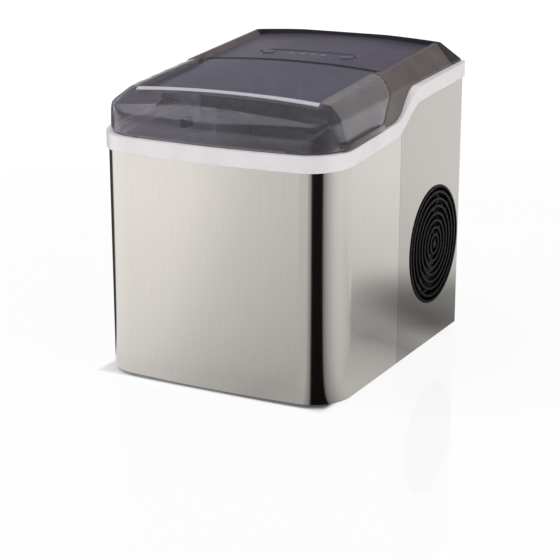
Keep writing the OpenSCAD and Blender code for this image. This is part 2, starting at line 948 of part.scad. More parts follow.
module bulkhead() {
    color("silver") difference() {
        translate([-half_w + 4, bulk_y, foot_h + pan_t])
            cube([2 * half_w - 8, bulk_t, alcove_floor - tub_wall - foot_h - pan_t - 0.3]);
        rod_y(tub_rear_y - 2, bulk_y + 4, pump_in_x, pump_in_z, hose_r + fit);
        rod_y(tub_rear_y - 2, bulk_y + 4, drain_x, drain_in_z, hose_r + fit);
    }
}

// ---------- basket ----------

module ice_basket() {
    w = basket_w;
    d = basket_rear - basket_front;
    z0 = basket_top - basket_h;
    floor_slots = floor((w - 30) / slot_pitch);
    side_slots = floor((d - 30) / slot_pitch);
    color("white") translate([0, (basket_front + basket_rear) / 2, 0]) difference() {
        union() {
            translate([0, 0, z0]) round_bar([w, d, basket_h], 12);
            translate([0, -8, basket_top - 2.4])
                round_bar([w + 2 * basket_lip, d - 16, 2.4], 12);
        }
        // low rear wall that the ice is swept over
        translate([-shovel_x - 3, d / 2 - basket_wall - 1, alcove_floor - basket_drop])
            cube([2 * shovel_x + 6, basket_wall + 3, basket_top]);
        translate([0, 0, z0 + basket_wall])
            round_bar([w - 2 * basket_wall, d - 2 * basket_wall, basket_h + 5], 12 - basket_wall);
        for (i = [0:floor_slots]) translate([(i - floor_slots / 2) * slot_pitch, 0, z0 - 1]) {
            for (y = [-d / 4 + 1, d / 4 - 1]) translate([0, y, 0])
                linear_extrude(basket_wall + 2) slot(slot_w, d / 2 - 16);
            translate([0, 0, basket_h * 0.42]) rotate([90, 0, 0])
                linear_extrude(2 * d, center = true) slot(slot_w, basket_h * 0.5);
        }
        for (i = [0:side_slots])
            translate([0, (i - side_slots / 2) * slot_pitch, z0 + basket_h * 0.42 - 1])
                rotate([90, 0, 90]) linear_extrude(2 * w, center = true)
                    slot(slot_w, basket_h * 0.5);
        // finger notch in the front wall
        translate([0, -d / 2, basket_top + 1]) rotate([90, 0, 0])
            linear_extrude(12, center = true) round_square([34, 22], 8);
    }
}

// ---------- ice mechanism ----------

function row_x(n) = [for (i = [0:n - 1]) (i - (n - 1) / 2) * finger_pitch];

module evaporator_header() {
    z = shaft_z + header_rise;
    y0 = shaft_y - row_front;
    y1 = shaft_y - row_rear;
    color("peru") {
        rod_x(-header_left, header_right, y0, z, header_r);
        rod_x(-header_left, header_right, y1, z, header_r);
        translate([-header_left, (y0 + y1) / 2, z]) rotate([0, 0, 90])
            rotate_extrude(angle = 180, $fn = arc_n)
                translate([(y1 - y0) / 2, 0]) circle(r = header_r, $fn = arc_n / 2);
        for (y = [y0, y1]) rod_x(header_right, header_right + 6, y, z, header_r - 2);
    }
}

module evaporator_fingers() {
    top = shaft_z + header_rise;
    tip = shaft_z - finger_tip;
    r = finger_d / 2;
    color("silver") for (row = [[row_front, finger_count], [row_rear, finger_count - 1]])
        for (x = row_x(row[1])) translate([x, shaft_y - row[0], 0]) difference() {
            translate([0, 0, tip]) rotate_extrude($fn = arc_n / 2) union() {
                translate([0, r]) square([r, top - tip - r]);
                intersection() {
                    translate([0, r]) circle(r = r, $fn = arc_n / 2);
                    translate([0, -1]) square([r + 1, r + 2]);
                }
            }
            rod_x(-20, 20, 0, top, header_r);
        }
}

module evaporator_bracket() {
    y0 = shaft_y - row_front;
    y1 = shaft_y - row_rear;
    z = shaft_z + header_rise;
    front = seam_top_y + seam_gap + wall;
    color("white") difference() {
        union() {
            translate([-alcove_in - tub_wall, front, bracket_z])
                cube([2 * (alcove_in + tub_wall), alcove_rear + tub_wall - front, bracket_t]);
            // clips over the header
            for (s = [-1, 1]) translate([s * (header_left - 14) - 4, y0 - 9, z])
                cube([8, y1 - y0 + 18, bracket_z - z]);
            // skirt that stands on the alcove's rear wall
            translate([-alcove_in - tub_wall, alcove_rear, alcove_top])
                cube([2 * (alcove_in + tub_wall), tub_wall, bracket_z - alcove_top]);
            for (s = [-1, 1]) scale_x(s) translate([alcove_in, y1 + 12, alcove_top])
                cube([tub_wall, alcove_rear - y1 - 12, bracket_z - alcove_top]);
        }
        for (y = [y0, y1]) rod_x(-header_left, header_left, y, z, header_r);
    }
}

// Cross section of the tray, drawn with the shaft at the origin
module tray_section(inset) {
    x0 = -tray_front + inset;
    x1 = -tray_back - inset;
    y0 = -tray_floor + inset;
    r = tray_corner - inset;
    difference() {
        translate([x0, y0]) square([x1 - x0, tray_floor - inset + 4 + inset]);
        for (m = [[x0, 1], [x1, -1]]) translate([m[0] + m[1] * r, y0 + r]) difference() {
            translate([m[1] > 0 ? -r - 1 : 0, -r - 1]) square([r + 1, r + 1]);
            circle(r = r, $fn = arc_n / 2);
        }
    }
}

module water_tray() {
    color("white") translate([0, shaft_y, shaft_z]) difference() {
        union() {
            difference() {
                rotate([90, 0, 90]) translate([0, 0, -tray_half])
                    linear_extrude(2 * tray_half) tray_section(0);
                rotate([90, 0, 90]) translate([0, 0, -tray_half + tray_wall])
                    linear_extrude(2 * (tray_half - tray_wall)) tray_section(tray_wall);
                // low rear edge, clear of the rear row of fingers
                translate([-tray_half - 1, -row_rear + 5, -3])
                    cube([2 * tray_half + 2, 20, 20]);
            }
            // bearing bosses at both ends
            for (s = [-1, 1]) scale_x(s) {
                rod_x(tray_half - 8, tray_half, 0, 0, 6);
                translate([tray_half - tray_wall, -16, -14]) cube([tray_wall, 16, 12]);
                translate([tray_half - 8, -tray_back - tray_wall, -14]) cube([8, 5, 14]);
            }
        }
        rod_x(-tray_half - 1, tray_half + 1, 0, 0, shaft_r);
    }
}

module tray_shaft() {
    color("silver") difference() {
        rod_x(-alcove_in - tub_wall - 4, alcove_in + tub_wall + motor_l - 6, shaft_y, shaft_z,
            shaft_r);
        // drive flat
        translate([alcove_in + tub_wall + 5, shaft_y - 5, shaft_z + shaft_r - 0.8])
            cube([motor_l, 10, 5]);
    }
}

module shaft_bushes() {
    color("ivory") for (s = [-1, 1]) scale_x(s) difference() {
        union() {
            rod_x(alcove_in, alcove_in + tub_wall, shaft_y, shaft_z, bush_r);
            rod_x(alcove_in - 1.2, alcove_in, shaft_y, shaft_z, bush_r + 2);
        }
        rod_x(alcove_in - 4, alcove_in + 8, shaft_y, shaft_z, shaft_r + run);
    }
}

// Sweeper that hangs from the tray shaft on two arms
module ice_shovel() {
    teeth = 10;
    gap_w = 7;
    arm_w = 9;
    color("white") translate([0, shaft_y, shaft_z]) rotate([shovel_rest, 0, 0]) difference() {
        union() {
            for (s = [-1, 1]) scale_x(s) {
                rod_x(shovel_x - shovel_t, shovel_x, 0, 0, 7);
                translate([shovel_x - shovel_t, -arm_w / 2, -shovel_out])
                    cube([shovel_t, arm_w, shovel_out]);
            }
            translate([-shovel_x, -shovel_t / 2, -shovel_out])
                cube([2 * shovel_x, shovel_t, shovel_out - shovel_in]);
            translate([-shovel_x, -arm_w / 2, -shovel_in - shovel_t])
                cube([2 * shovel_x, arm_w, shovel_t]);
        }
        rod_x(-shovel_x - 1, shovel_x + 1, 0, 0, shaft_r + run);
        for (i = [0:teeth - 1])
            translate([(i - (teeth - 1) / 2) * finger_pitch / 2 - gap_w / 2, -5,
                -shovel_out - 1])
                cube([gap_w, 10, 7]);
    }
}

module tray_motor() {
    x0 = alcove_in + tub_wall + fit;
    color("dimgray") difference() {
        union() {
            translate([x0, shaft_y - motor_w / 2, shaft_z - motor_h / 2])
                cube([motor_l, motor_w, motor_h]);
            rod_x(x0 + motor_l, x0 + motor_l + 8, shaft_y - 8, shaft_z - 2, 12);
        }
        rod_x(x0 - 1, x0 + motor_l - 3, shaft_y, shaft_z, shaft_r + run);
    }
}

module water_nozzle() {
    x0 = -alcove_in - tub_wall;
    color("white") difference() {
        union() {
            rod_x(x0 - nozzle_l, -tray_half + 6, pump_y, nozzle_z, hose_r);
            rod_x(x0 - 2, x0, pump_y, nozzle_z, hose_r + 2.5);
        }
        rod_x(x0 - nozzle_l - 1, -tray_half + 4, pump_y, nozzle_z, hose_r - 1.2);
        rod_z(nozzle_z - 6, nozzle_z, -tray_half + 2.5, pump_y, 1.6);
    }
}

// ---------- water circuit ----------

module water_pump() {
    z0 = foot_h + pan_t;
    color("white") {
        rod_z(z0, z0 + pump_h, pump_x, pump_y, pump_r);
        rod_z(z0, z0 + 4, pump_x, pump_y, pump_r + 1.5);
        rod_z(z0 + pump_h - 1, z0 + pump_h + 8, pump_out_x, pump_y, hose_r);
        // suction stub that enters the tub
        rod_y(tub_rear_y - tub_wall, pump_y, pump_in_x, pump_in_z, hose_r);
    }
}

module supply_hose() {
    z0 = foot_h + pan_t + pump_h;
    x1 = -alcove_in - tub_wall - 3;
    color("white") difference() {
        pipe([
            [pump_out_x, pump_y, z0 + 0.3], [pump_out_x, pump_y, nozzle_z], [x1, pump_y, nozzle_z]
        ], hose_r + hose_t, hose_bend);
        rod_z(z0 - 1, z0 + 8, pump_out_x, pump_y, hose_r);
        rod_x(-alcove_in - tub_wall - nozzle_l, x1 + 1, pump_y, nozzle_z, hose_r);
    }
}

module pump_screen() {
    color("silver") translate([pump_in_x, tub_rear_y - tub_wall - 6.2, pump_in_z])
        rotate([-90, 0, 0]) difference() {
            cylinder(r = 6.4, h = 6, $fn = 48);
            translate([0, 0, 1.2]) cylinder(r = 5.2, h = 6, $fn = 48);
            for (i = [-1:1]) translate([-4, i * 2.6 - 0.5, -1]) cube([8, 1, 2.5]);
        }
}

module float_stem() {
    color("white") {
        rod_z(tub_z + tub_wall, tub_z + tub_wall + 34, float_x, float_y, 3);
        rod_z(tub_z + tub_wall + 34, tub_z + tub_wall + 36, float_x, float_y, 6);
        rod_z(tub_z + tub_wall, tub_z + tub_wall + 6, float_x, float_y, 6);
    }
}

module level_float() {
    color("orange") difference() {
        rod_z(tub_z + tub_wall + 6.1, tub_z + tub_wall + 22, float_x, float_y, 10);
        rod_z(tub_z, tub_z + tub_wall + 40, float_x, float_y, 3.4);
    }
}

module ice_sensors() {
    color("black") for (s = [-1, 1]) scale_x(s)
        translate([tub_x - tub_wall - 5, -22, basket_top + 6]) cube([5, 14, 10]);
}

module drain_pipe() {
    color("white") pipe([
        [drain_x, tub_rear_y - tub_wall, drain_in_z], [drain_x, bulk_y + 10, drain_in_z],
        [drain_x, bulk_y + 10, drain_z], [drain_x, rear_y - spout_l, drain_z]
    ], hose_r, drain_bend);
}

module drain_spout() {
    color("white") difference() {
        union() {
            rod_y(rear_y - spout_l, rear_y, drain_x, drain_z, spout_r);
            rod_y(rear_y - skin_t - 3, rear_y - skin_t - 0.1, drain_x, drain_z, spout_r + 1.5);
        }
        rod_y(rear_y - spout_l + 3, rear_y + 1, drain_x, drain_z, spout_bore);
    }
}

// Plug with a round head and a pull tongue
module drain_plug() {
    y0 = rear_y + 0.3;
    color("white") {
        rod_y(rear_y - plug_l, y0 + plug_t / 2, drain_x, drain_z, spout_bore - plug_clear);
        rod_y(y0, y0 + plug_t, drain_x, drain_z, plug_r);
        translate([drain_x, y0 + plug_t, drain_z]) rotate([90, 0, 0]) linear_extrude(plug_t)
            translate([0, plug_r]) slot(9, 20);
    }
}

// ---------- refrigeration ----------

module at_compressor_mounts() {
    for (a = [90, 210, 330])
        translate([comp_x + comp_bolt_r * cos(a), comp_y + comp_bolt_r * sin(a)]) children();
}

module compressor() {
    z0 = foot_h + pan_t + comp_mount_h;
    color("black") {
        translate([comp_x, comp_y, z0 + 4]) rotate_extrude($fn = arc_n) union() {
            square([comp_r - 12, comp_dome_z]);
            translate([0, 12]) square([comp_r, comp_dome_z - 12]);
            intersection() {
                translate([0, 12]) square([comp_r, comp_h]);
                translate([0, comp_dome_z]) circle(r = comp_r, $fn = arc_n);
            }
            intersection() {
                square([comp_r, comp_h]);
                translate([comp_r - 12, 12]) circle(r = 12, $fn = arc_n / 2);
            }
        }
        difference() {
            translate([0, 0, z0]) linear_extrude(4) hull() at_compressor_mounts()
                circle(r = 9, $fn = hull_n);
            at_compressor_mounts() translate([0, 0, z0 - 1]) cylinder(r = 2.6, h = 6, $fn = 24);
        }
        translate([comp_x - 14, comp_y - comp_r - start_box_d, z0 + 40])
            cube([28, start_box_d + 6, 30]);
    }
}

module compressor_mounts() {
    color("dimgray") at_compressor_mounts() translate([0, 0, foot_h + pan_t]) difference() {
        rotate_extrude($fn = 48) polygon([
            [0, 0], [8, 0], [8, 3], [6.5, 5], [8, 7], [8, comp_mount_h], [0, comp_mount_h]
        ]);
        translate([0, 0, -1]) cylinder(r = 2.6, h = comp_mount_h + 2, $fn = 24);
    }
}

module mount_bolts() {
    z1 = foot_h + pan_t + comp_mount_h + 4;
    color("silver") at_compressor_mounts() {
        translate([0, 0, foot_h - 1.8]) cylinder(r = 4.6, h = 1.8, $fn = 6);
        rod_z(foot_h - 1, z1 + 5, 0, 0, 2.5);
        translate([0, 0, z1]) cylinder(r = 4.4, h = 3.4, $fn = 6);
    }
}

module condenser_fins() {
    step = (cond_y1 - cond_y0 - fin_t) / (fin_count - 1);
    color("silver") for (i = [0:fin_count - 1])
        translate([cond_x0, cond_y0 + i * step, cond_z0]) difference() {
            cube([cond_x1 - cond_x0, fin_t, cond_z1 - cond_z0]);
            for (k = [0:coil_rows - 1])
                rod_y(-1, fin_t + 1, coil_x - cond_x0, 8 + k * coil_pitch, coil_r);
        }
    color("silver") for (y = [cond_y0 - 1.5, cond_y1])
        translate([cond_x0, y, foot_h + pan_t]) difference() {
            cube([cond_x1 - cond_x0, 1.5, cond_z1 - foot_h - pan_t]);
            for (k = [0:coil_rows - 1])
                rod_y(-1, 4, coil_x - cond_x0, cond_z0 + 8 + k * coil_pitch - foot_h - pan_t,
                    coil_r);
        }
}

module condenser_coil() {
    y0 = cond_y0 - coil_stub;
    y1 = cond_y1 + coil_stub;
    color("peru") for (k = [0:coil_rows - 1]) {
        z = cond_z0 + 8 + k * coil_pitch;
        rod_y(y0, y1, coil_x, z, coil_r);
        if (k < coil_rows - 1)
            translate([coil_x, k % 2 == 0 ? y1 : y0, z + coil_pitch / 2])
                rotate([0, 90, 0]) rotate([0, 0, k % 2 == 0 ? 0 : 180])
                    rotate_extrude(angle = 180, $fn = 48)
                        translate([coil_pitch / 2, 0]) circle(r = coil_r, $fn = 24);
    }
}

module fan_shroud() {
    x0 = shroud_x - shroud_d;
    color("dimgray") difference() {
        union() {
            rod_x(x0, shroud_x, fan_y, fan_z, shroud_r + 2);
            translate([x0, fan_y - shroud_r - 6, fan_z - shroud_r - 6])
                cube([2, 2 * shroud_r + 12, 2 * shroud_r + 12]);
            translate([x0, fan_y - 50, foot_h + pan_t]) cube([2, 100, fan_z - shroud_r]);
        }
        rod_x(x0 - 1, shroud_x + 1, fan_y, fan_z, shroud_r);
    }
    // struts that hold the motor
    color("dimgray") for (a = [45, 165, 285]) translate([x0, fan_y, fan_z]) rotate([a, 0, 0])
        translate([0, -2.5, 16]) cube([2, 5, shroud_r - 15]);
}

module fan_motor() {
    x0 = shroud_x - shroud_d;
    color("black") {
        rod_x(x0 - 8, x0 + 5, fan_y, fan_z, 16);
        rod_x(x0 + 5, x0 + 12, fan_y, fan_z, 1.5);
    }
}

module fan_rotor() {
    x0 = shroud_x - shroud_d + 5.6;
    depth = 13;
    color("gray") difference() {
        union() {
            rod_x(x0, x0 + depth, fan_y, fan_z, 17);
            intersection() {
                rod_x(x0 + 0.5, x0 + depth - 0.5, fan_y, fan_z, rotor_r);
                translate([x0 + depth / 2, fan_y, fan_z]) for (i = [0:blade_count - 1])
                    rotate([i * 360 / blade_count, 0, 0]) translate([0, 0, 12])
                        rotate([0, 0, 32]) translate([-0.9, -16, 0]) cube([1.8, 32, rotor_r]);
            }
        }
        rod_x(x0 - 1, x0 + 8, fan_y, fan_z, 1.5 + run);
        rod_x(x0 - 1, x0 + 3, fan_y, fan_z, 8);
    }
}

module filter_drier() {
    color("peru") {
        rod_z(drier_z, drier_z + 50, drier_x, drier_y, 8);
        rod_z(drier_z - 5, drier_z + 55, drier_x, drier_y, 3);
    }
}

module discharge_pipe() {
    z = foot_h + pan_t + comp_mount_h + 70;
    tee_y = (comp_y + valve_y) / 2;
    color("peru") {
        pipe([
            [comp_x + comp_r, comp_y, z], [valve_x, comp_y, z], [valve_x, comp_y, pipe_z],
            [valve_x, valve_y, pipe_z], [valve_x, valve_y, valve_z]
        ], pipe_r, pipe_bend);
        pipe([
            [valve_x, tee_y, pipe_z], [coil_x, tee_y, pipe_z], [coil_x, bulk_y + 7, pipe_z],
            [coil_x, bulk_y + 7, cond_z0 + 8 + (coil_rows - 1) * coil_pitch],
            [coil_x, cond_y0 - coil_stub, cond_z0 + 8 + (coil_rows - 1) * coil_pitch]
        ], pipe_r, pipe_bend);
    }
}

module suction_pipe() {
    z = shaft_z + header_rise;
    y = shaft_y - row_rear;
    x = alcove_in + 14;
    color("peru") pipe([
        [header_right + 6, y, z], [x, y, z], [x, drier_y - 10, z], [x, drier_y - 10, return_z],
        [comp_x, drier_y - 10, return_z], [comp_x, drier_y + 3, return_z],
        [comp_x, drier_y + 3, 80], [comp_x, comp_y + comp_r, 80]
    ], pipe_r, pipe_bend);
}

module liquid_pipe() {
    color("peru") pipe([
        [coil_x, cond_y0 - coil_stub, cond_z0 + 8], [coil_x, bulk_y + 7, cond_z0 + 8],
        [cond_x0 - 8, bulk_y + 7, cond_z0 + 8], [cond_x0 - 8, drier_y, cond_z0 + 8],
        [drier_x, drier_y, cond_z0 + 8], [drier_x, drier_y, drier_z - 5]
    ], 2, 4);
}

module capillary_tube() {
    z = shaft_z + header_rise;
    y = shaft_y - row_front;
    x = alcove_in + 20;
    color("peru") pipe([
        [header_right + 6, y, z], [x, y, z], [x, y, return_z + 8], [x, drier_y, return_z + 8],
        [drier_x, drier_y, return_z + 8], [drier_x, drier_y, drier_z + 55]
    ], 1.2, 5);
}

module hot_gas_valve() {
    color("steelblue") translate([valve_x, valve_y, valve_z]) {
        rod_z(0, 24, 0, 0, 5);
        rod_z(24, 26, 0, 0, 3);
        translate([-9, -5, 26]) cube([18, 20, 20]);
    }
}

module power_board() {
    color("darkgreen") {
        translate([power_x, power_y, power_z]) cube([power_w, board_t, power_h]);
        // transformer, capacitor and relay
        translate([power_x + 8, power_y - 18, power_z + 10]) cube([24, 18, 22]);
        translate([power_x + 38, power_y - 16, power_z + 12]) cube([16, 16, 30]);
        translate([power_x + 8, power_y - 12, power_z + 42]) cube([20, 12, 14]);
        // posts that stand on the rear panel
        for (x = [4, power_w - 4], z = [4, power_h - 4])
            rod_y(power_y + board_t, rear_y - skin_t, power_x + x, power_z + z, 2.5);
    }
}

module cord_gland() {
    color("black") difference() {
        union() {
            rod_y(rear_y - 12, rear_y + trim_out, gland_x, gland_z, gland_bore + 4);
            rod_y(rear_y, rear_y + trim_out, gland_x, gland_z, gland_bore + 7);
            rod_y(rear_y - skin_t - 3, rear_y - skin_t - 0.1, gland_x, gland_z, gland_bore + 6);
        }
        rod_y(rear_y - 14, rear_y + 5, gland_x, gland_z, gland_bore);
    }
}

module case_screws() {
    color("silver") at_rear_screws() rotate([-90, 0, 0]) {
        translate([0, 0, -6]) cylinder(r = 1.7, h = 6.1, $fn = 24);
        cylinder(r = 3.2, h = 1.6, $fn = 32);
    }
}

base_pan();
feet();
front_wrap();
side_panel_right();
side_panel_left();
rear_panel();
vent_grille_right();
vent_grille_left();
trim_ring();
deck_housing();
deck_panel();
indicator_lenses();
power_button();
select_button();
control_board();
lid();
hinge_pins();
inner_liner();
tub_collar();
liner_insulation();
bulkhead();
ice_basket();
evaporator_header();
evaporator_fingers();
evaporator_bracket();
water_tray();
tray_shaft();
shaft_bushes();
ice_shovel();
tray_motor();
water_nozzle();
water_pump();
supply_hose();
pump_screen();
level_float();
float_stem();
ice_sensors();
drain_pipe();
drain_spout();
drain_plug();
compressor();
compressor_mounts();
mount_bolts();
condenser_fins();
condenser_coil();
fan_shroud();
fan_motor();
fan_rotor();
filter_drier();
discharge_pipe();
suction_pipe();
liquid_pipe();
capillary_tube();
hot_gas_valve();
power_board();
cord_gland();
case_screws();
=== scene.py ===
import math

import bmesh
import bpy
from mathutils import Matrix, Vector


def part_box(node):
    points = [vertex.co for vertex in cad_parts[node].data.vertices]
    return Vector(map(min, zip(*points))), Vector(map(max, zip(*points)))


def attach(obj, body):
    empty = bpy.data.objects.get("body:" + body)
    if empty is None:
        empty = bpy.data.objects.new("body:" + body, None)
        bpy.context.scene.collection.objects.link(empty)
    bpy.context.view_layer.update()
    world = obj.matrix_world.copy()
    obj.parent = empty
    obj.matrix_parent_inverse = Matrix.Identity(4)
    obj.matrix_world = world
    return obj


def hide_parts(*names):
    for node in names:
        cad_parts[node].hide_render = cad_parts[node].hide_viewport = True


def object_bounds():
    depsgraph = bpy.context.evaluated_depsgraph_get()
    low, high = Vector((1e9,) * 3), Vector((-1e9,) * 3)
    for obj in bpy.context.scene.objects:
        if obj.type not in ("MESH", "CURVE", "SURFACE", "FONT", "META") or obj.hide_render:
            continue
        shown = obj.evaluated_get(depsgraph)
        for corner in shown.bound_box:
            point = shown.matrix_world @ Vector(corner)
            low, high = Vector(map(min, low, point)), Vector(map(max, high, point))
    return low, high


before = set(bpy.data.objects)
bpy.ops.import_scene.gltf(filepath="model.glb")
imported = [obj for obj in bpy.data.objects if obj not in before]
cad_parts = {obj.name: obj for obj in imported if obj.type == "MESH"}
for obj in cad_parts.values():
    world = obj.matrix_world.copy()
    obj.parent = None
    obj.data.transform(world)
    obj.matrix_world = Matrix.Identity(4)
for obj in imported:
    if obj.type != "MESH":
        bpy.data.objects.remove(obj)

scene = bpy.context.scene
cad_low, cad_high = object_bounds()
mm = 0.001


# ---------- studio ----------
# The machine stands on a white acrylic sweep in a small product studio. The camera looks down on
# its right front corner through a short telephoto lens.

camera_turn = math.radians(27.954)
camera_rise = math.radians(16.582)
camera_distance = 1.500919
camera_lens = 102.7
sensor_width = 36
aim = (cad_low + cad_high) / 2 + Vector((6.0, -22.9, -70.3)) * mm


def direction(turn, rise):
    """Unit vector from the machine: turn from straight ahead to the right, rise off the floor."""
    return Vector((
        math.sin(turn) * math.cos(rise), -math.cos(turn) * math.cos(rise), math.sin(rise)
    ))


def look(obj, place, target):
    """Puts a camera or lamp at a place and turns it to face the target."""
    obj.location = place
    obj.rotation_euler = (target - place).to_track_quat("-Z", "Y").to_euler()
    scene.collection.objects.link(obj)
    return obj


lens = bpy.data.cameras.new("camera")
lens.lens = camera_lens
lens.sensor_width = sensor_width
lens.clip_start = 0.05
lens.clip_end = 50
camera_place = aim + direction(camera_turn, camera_rise) * camera_distance
scene.camera = look(bpy.data.objects.new("camera", lens), camera_place, aim)
scene.view_settings.view_transform = "Standard"


def clear_nodes(tree, output):
    """Empties a node tree and returns its nodes, its links and a fresh output node."""
    tree.nodes.clear()
    return tree.nodes, tree.links, tree.nodes.new(output)


def glow_node(nodes, kind, colour, strength=1.0):
    """A background or an emission of one colour and strength."""
    node = nodes.new(kind)
    node.inputs["Color"].default_value = (*colour, 1)
    node.inputs["Strength"].default_value = strength
    return node


def math_node(nodes, links, operation, first, second, clamp=True):
    """A Math node fed by sockets or plain numbers."""
    node = nodes.new("ShaderNodeMath")
    node.operation = operation
    node.use_clamp = clamp
    for socket, value in zip(node.inputs, (first, second)):
        if isinstance(value, (int, float)):
            socket.default_value = value
        else:
            links.new(value, socket)
    return node.outputs[0]


def map_range(nodes, links, value, low, high, to_low=0, to_high=1, curve="LINEAR"):
    """A value moved from one range to another, held at the ends."""
    node = nodes.new("ShaderNodeMapRange")
    node.interpolation_type = curve
    for name, number in (
        ("From Min", low), ("From Max", high), ("To Min", to_low), ("To Max", to_high)
    ):
        node.inputs[name].default_value = number
    links.new(value, node.inputs["Value"])
    return node.outputs[0]


def blend_shaders(nodes, links, factor, first, second):
    """Mix of two shaders."""
    node = nodes.new("ShaderNodeMixShader")
    links.new(factor, node.inputs[0])
    links.new(first, node.inputs[1])
    links.new(second, node.inputs[2])
    return node.outputs[0]


def seen_rays(nodes, links, ray):
    """1 for what the camera sees, straight or through clear plastic."""
    return math_node(
        nodes, links, "ADD", ray.outputs["Is Camera Ray"], ray.outputs["Is Transmission Ray"]
    )


# The room: white to the camera and through clear plastic, a softer grey as fill light. In gloss it
# is a white sweep with dark grey walls above it. The sweep's rise is given as a sine.
room_white = (1, 1, 1)
fill_colour = (0.98, 0.985, 1)
fill_level = 0.5
wall_colour = (0.97, 0.96, 1)
wall_level = 0.25
sweep_foot = 0.12
sweep_top = 0.24
world = bpy.data.worlds.new("studio_room")
scene.world = world
world.use_nodes = True
nodes, links, output = clear_nodes(world.node_tree, "ShaderNodeOutputWorld")
white_room = glow_node(nodes, "ShaderNodeBackground", room_white)
fill = glow_node(nodes, "ShaderNodeBackground", fill_colour, fill_level)
mirrored_room = glow_node(nodes, "ShaderNodeBackground", wall_colour)
height = nodes.new("ShaderNodeSeparateXYZ")
links.new(nodes.new("ShaderNodeTexCoord").outputs["Generated"], height.inputs[0])
sweep = map_range(
    nodes, links, height.outputs["Z"], sweep_foot, sweep_top, 1, wall_level, "SMOOTHSTEP"
)
links.new(sweep, mirrored_room.inputs["Strength"])
ray = nodes.new("ShaderNodeLightPath")
seen = seen_rays(nodes, links, ray)
room = blend_shaders(nodes, links, seen, fill.outputs[0], white_room.outputs[0])
room = blend_shaders(
    nodes, links, ray.outputs["Is Glossy Ray"], room, mirrored_room.outputs[0]
)
links.new(room, output.inputs["Surface"])

# The floor: matt white under a thin gloss, so that it keeps a soft shadow and a faint reflection.
floor_half = 6
bm = bmesh.new()
bmesh.ops.create_grid(bm, x_segments=1, y_segments=1, size=floor_half)
floor_mesh = bpy.data.meshes.new("floor")
bm.to_mesh(floor_mesh)
bm.free()
floor = bpy.data.objects.new("floor", floor_mesh)
scene.collection.objects.link(floor)
floor_finish = bpy.data.materials.new("floor_acrylic")
floor_finish.use_nodes = True
floor_mesh.materials.append(floor_finish)
nodes, links, output = clear_nodes(floor_finish.node_tree, "ShaderNodeOutputMaterial")


def vector_node(nodes, links, operation, vector, other, result=0):
    """A Vector Math node between a socket and a fixed vector. Its result 1 is a plain number."""
    node = nodes.new("ShaderNodeVectorMath")
    node.operation = operation
    links.new(vector, node.inputs[0])
    node.inputs[1].default_value = other
    return node.outputs[result]


def bearing_of(nodes, links, place):
    """Bearing of a place on the floor, straight ahead at 0.5, as 0 to 1 for a turn to the right."""
    parts = nodes.new("ShaderNodeSeparateXYZ")
    links.new(place, parts.inputs[0])
    ahead = math_node(nodes, links, "MULTIPLY", parts.outputs["Y"], -1, clamp=False)
    bearing = math_node(nodes, links, "ARCTAN2", parts.outputs["X"], ahead, clamp=False)
    return map_range(nodes, links, bearing, -math.pi, math.pi)


def level_by_bearing(nodes, links, bearing, stops):
    """Grey level at each bearing in degrees, with straight runs between the stops."""
    node = nodes.new("ShaderNodeValToRGB")
    elements = node.color_ramp.elements
    for number, (degrees, level) in enumerate(stops):
        position = (degrees + 180) / 360
        stop = elements[0] if number == 0 else elements.new(position)
        stop.position = position
        stop.color = (level, level, level, 1)
    links.new(bearing, node.inputs[0])
    return node.outputs[0]


# Painted reflection: levels that the floor shows only in the metal, by bearing from straight ahead
# to the right: close to the machine and far out. It is painted brighter far out and towards the key
# light.
near_stops = (
    (-180, 0.5), (-90, 0.8), (-60, 0.82), (-35, 0.73), (-8, 0.52), (14, 0.42), (60, 0.54),
    (92, 0.46), (110, 0.34), (122, 0.52), (134, 0.47), (180, 0.5),
)
far_stops = (
    (-180, 0.8), (-90, 0.98), (-45, 0.98), (-30, 0.93), (-18, 0.71), (0, 0.6), (60, 0.7),
    (143, 0.77), (180, 0.8),
)
near_radius = 0.2
far_radius = 0.9
far_curve = 0.5
floor_centre = (0, 0, 0)
place = nodes.new("ShaderNodeNewGeometry").outputs["Position"]
bearing = bearing_of(nodes, links, place)
radius = vector_node(nodes, links, "DISTANCE", place, floor_centre, result=1)
far_share = map_range(nodes, links, radius, near_radius, far_radius)
far_share = math_node(nodes, links, "POWER", far_share, far_curve)
level = nodes.new("ShaderNodeMix")
links.new(far_share, level.inputs["Factor"])
links.new(level_by_bearing(nodes, links, bearing, near_stops), level.inputs["A"])
links.new(level_by_bearing(nodes, links, bearing, far_stops), level.inputs["B"])
level = level.outputs["Result"]

# Painted shadow of the machine on the floor at its rear right, seen only in the metal.
shade_place = (0.16, 0.2, 0)
shade_core = 0.03
shade_edge = 0.17
shade_depth = 0.38
rear_shade = vector_node(nodes, links, "DISTANCE", place, shade_place, result=1)
rear_shade = map_range(
    nodes, links, rear_shade, shade_core, shade_edge, shade_depth, 0, "SMOOTHSTEP"
)
level = math_node(nodes, links, "SUBTRACT", level, rear_shade)

# Painted reflection: dark wedges painted into the floor's gloss off each front corner, in place of
# black flags, give the bent steel its dark upright bands. Each set is a place by the corner and the
# levels round it.
right_corner_dark_wedge = ((0.083, -0.1, 0), (
    (-180, 1.0), (6, 0.95), (17, 0.45), (20, 0.01), (48, 0.01), (51, 0.33), (62, 0.62),
    (80, 0.9), (96, 1.0), (180, 1.0),
))
left_corner_dark_wedge = ((-0.1, -0.11, 0), (
    (-180, 1.0), (-170, 1.0), (-160, 0.05), (-103, 0.05), (-96, 1.0), (180, 1.0),
))
for corner, stops in (right_corner_dark_wedge, left_corner_dark_wedge):
    from_corner = vector_node(nodes, links, "SUBTRACT", place, corner)
    painted_dark_wedge = level_by_bearing(nodes, links, bearing_of(nodes, links, from_corner), stops)
    level = math_node(nodes, links, "MULTIPLY", level, painted_dark_wedge)
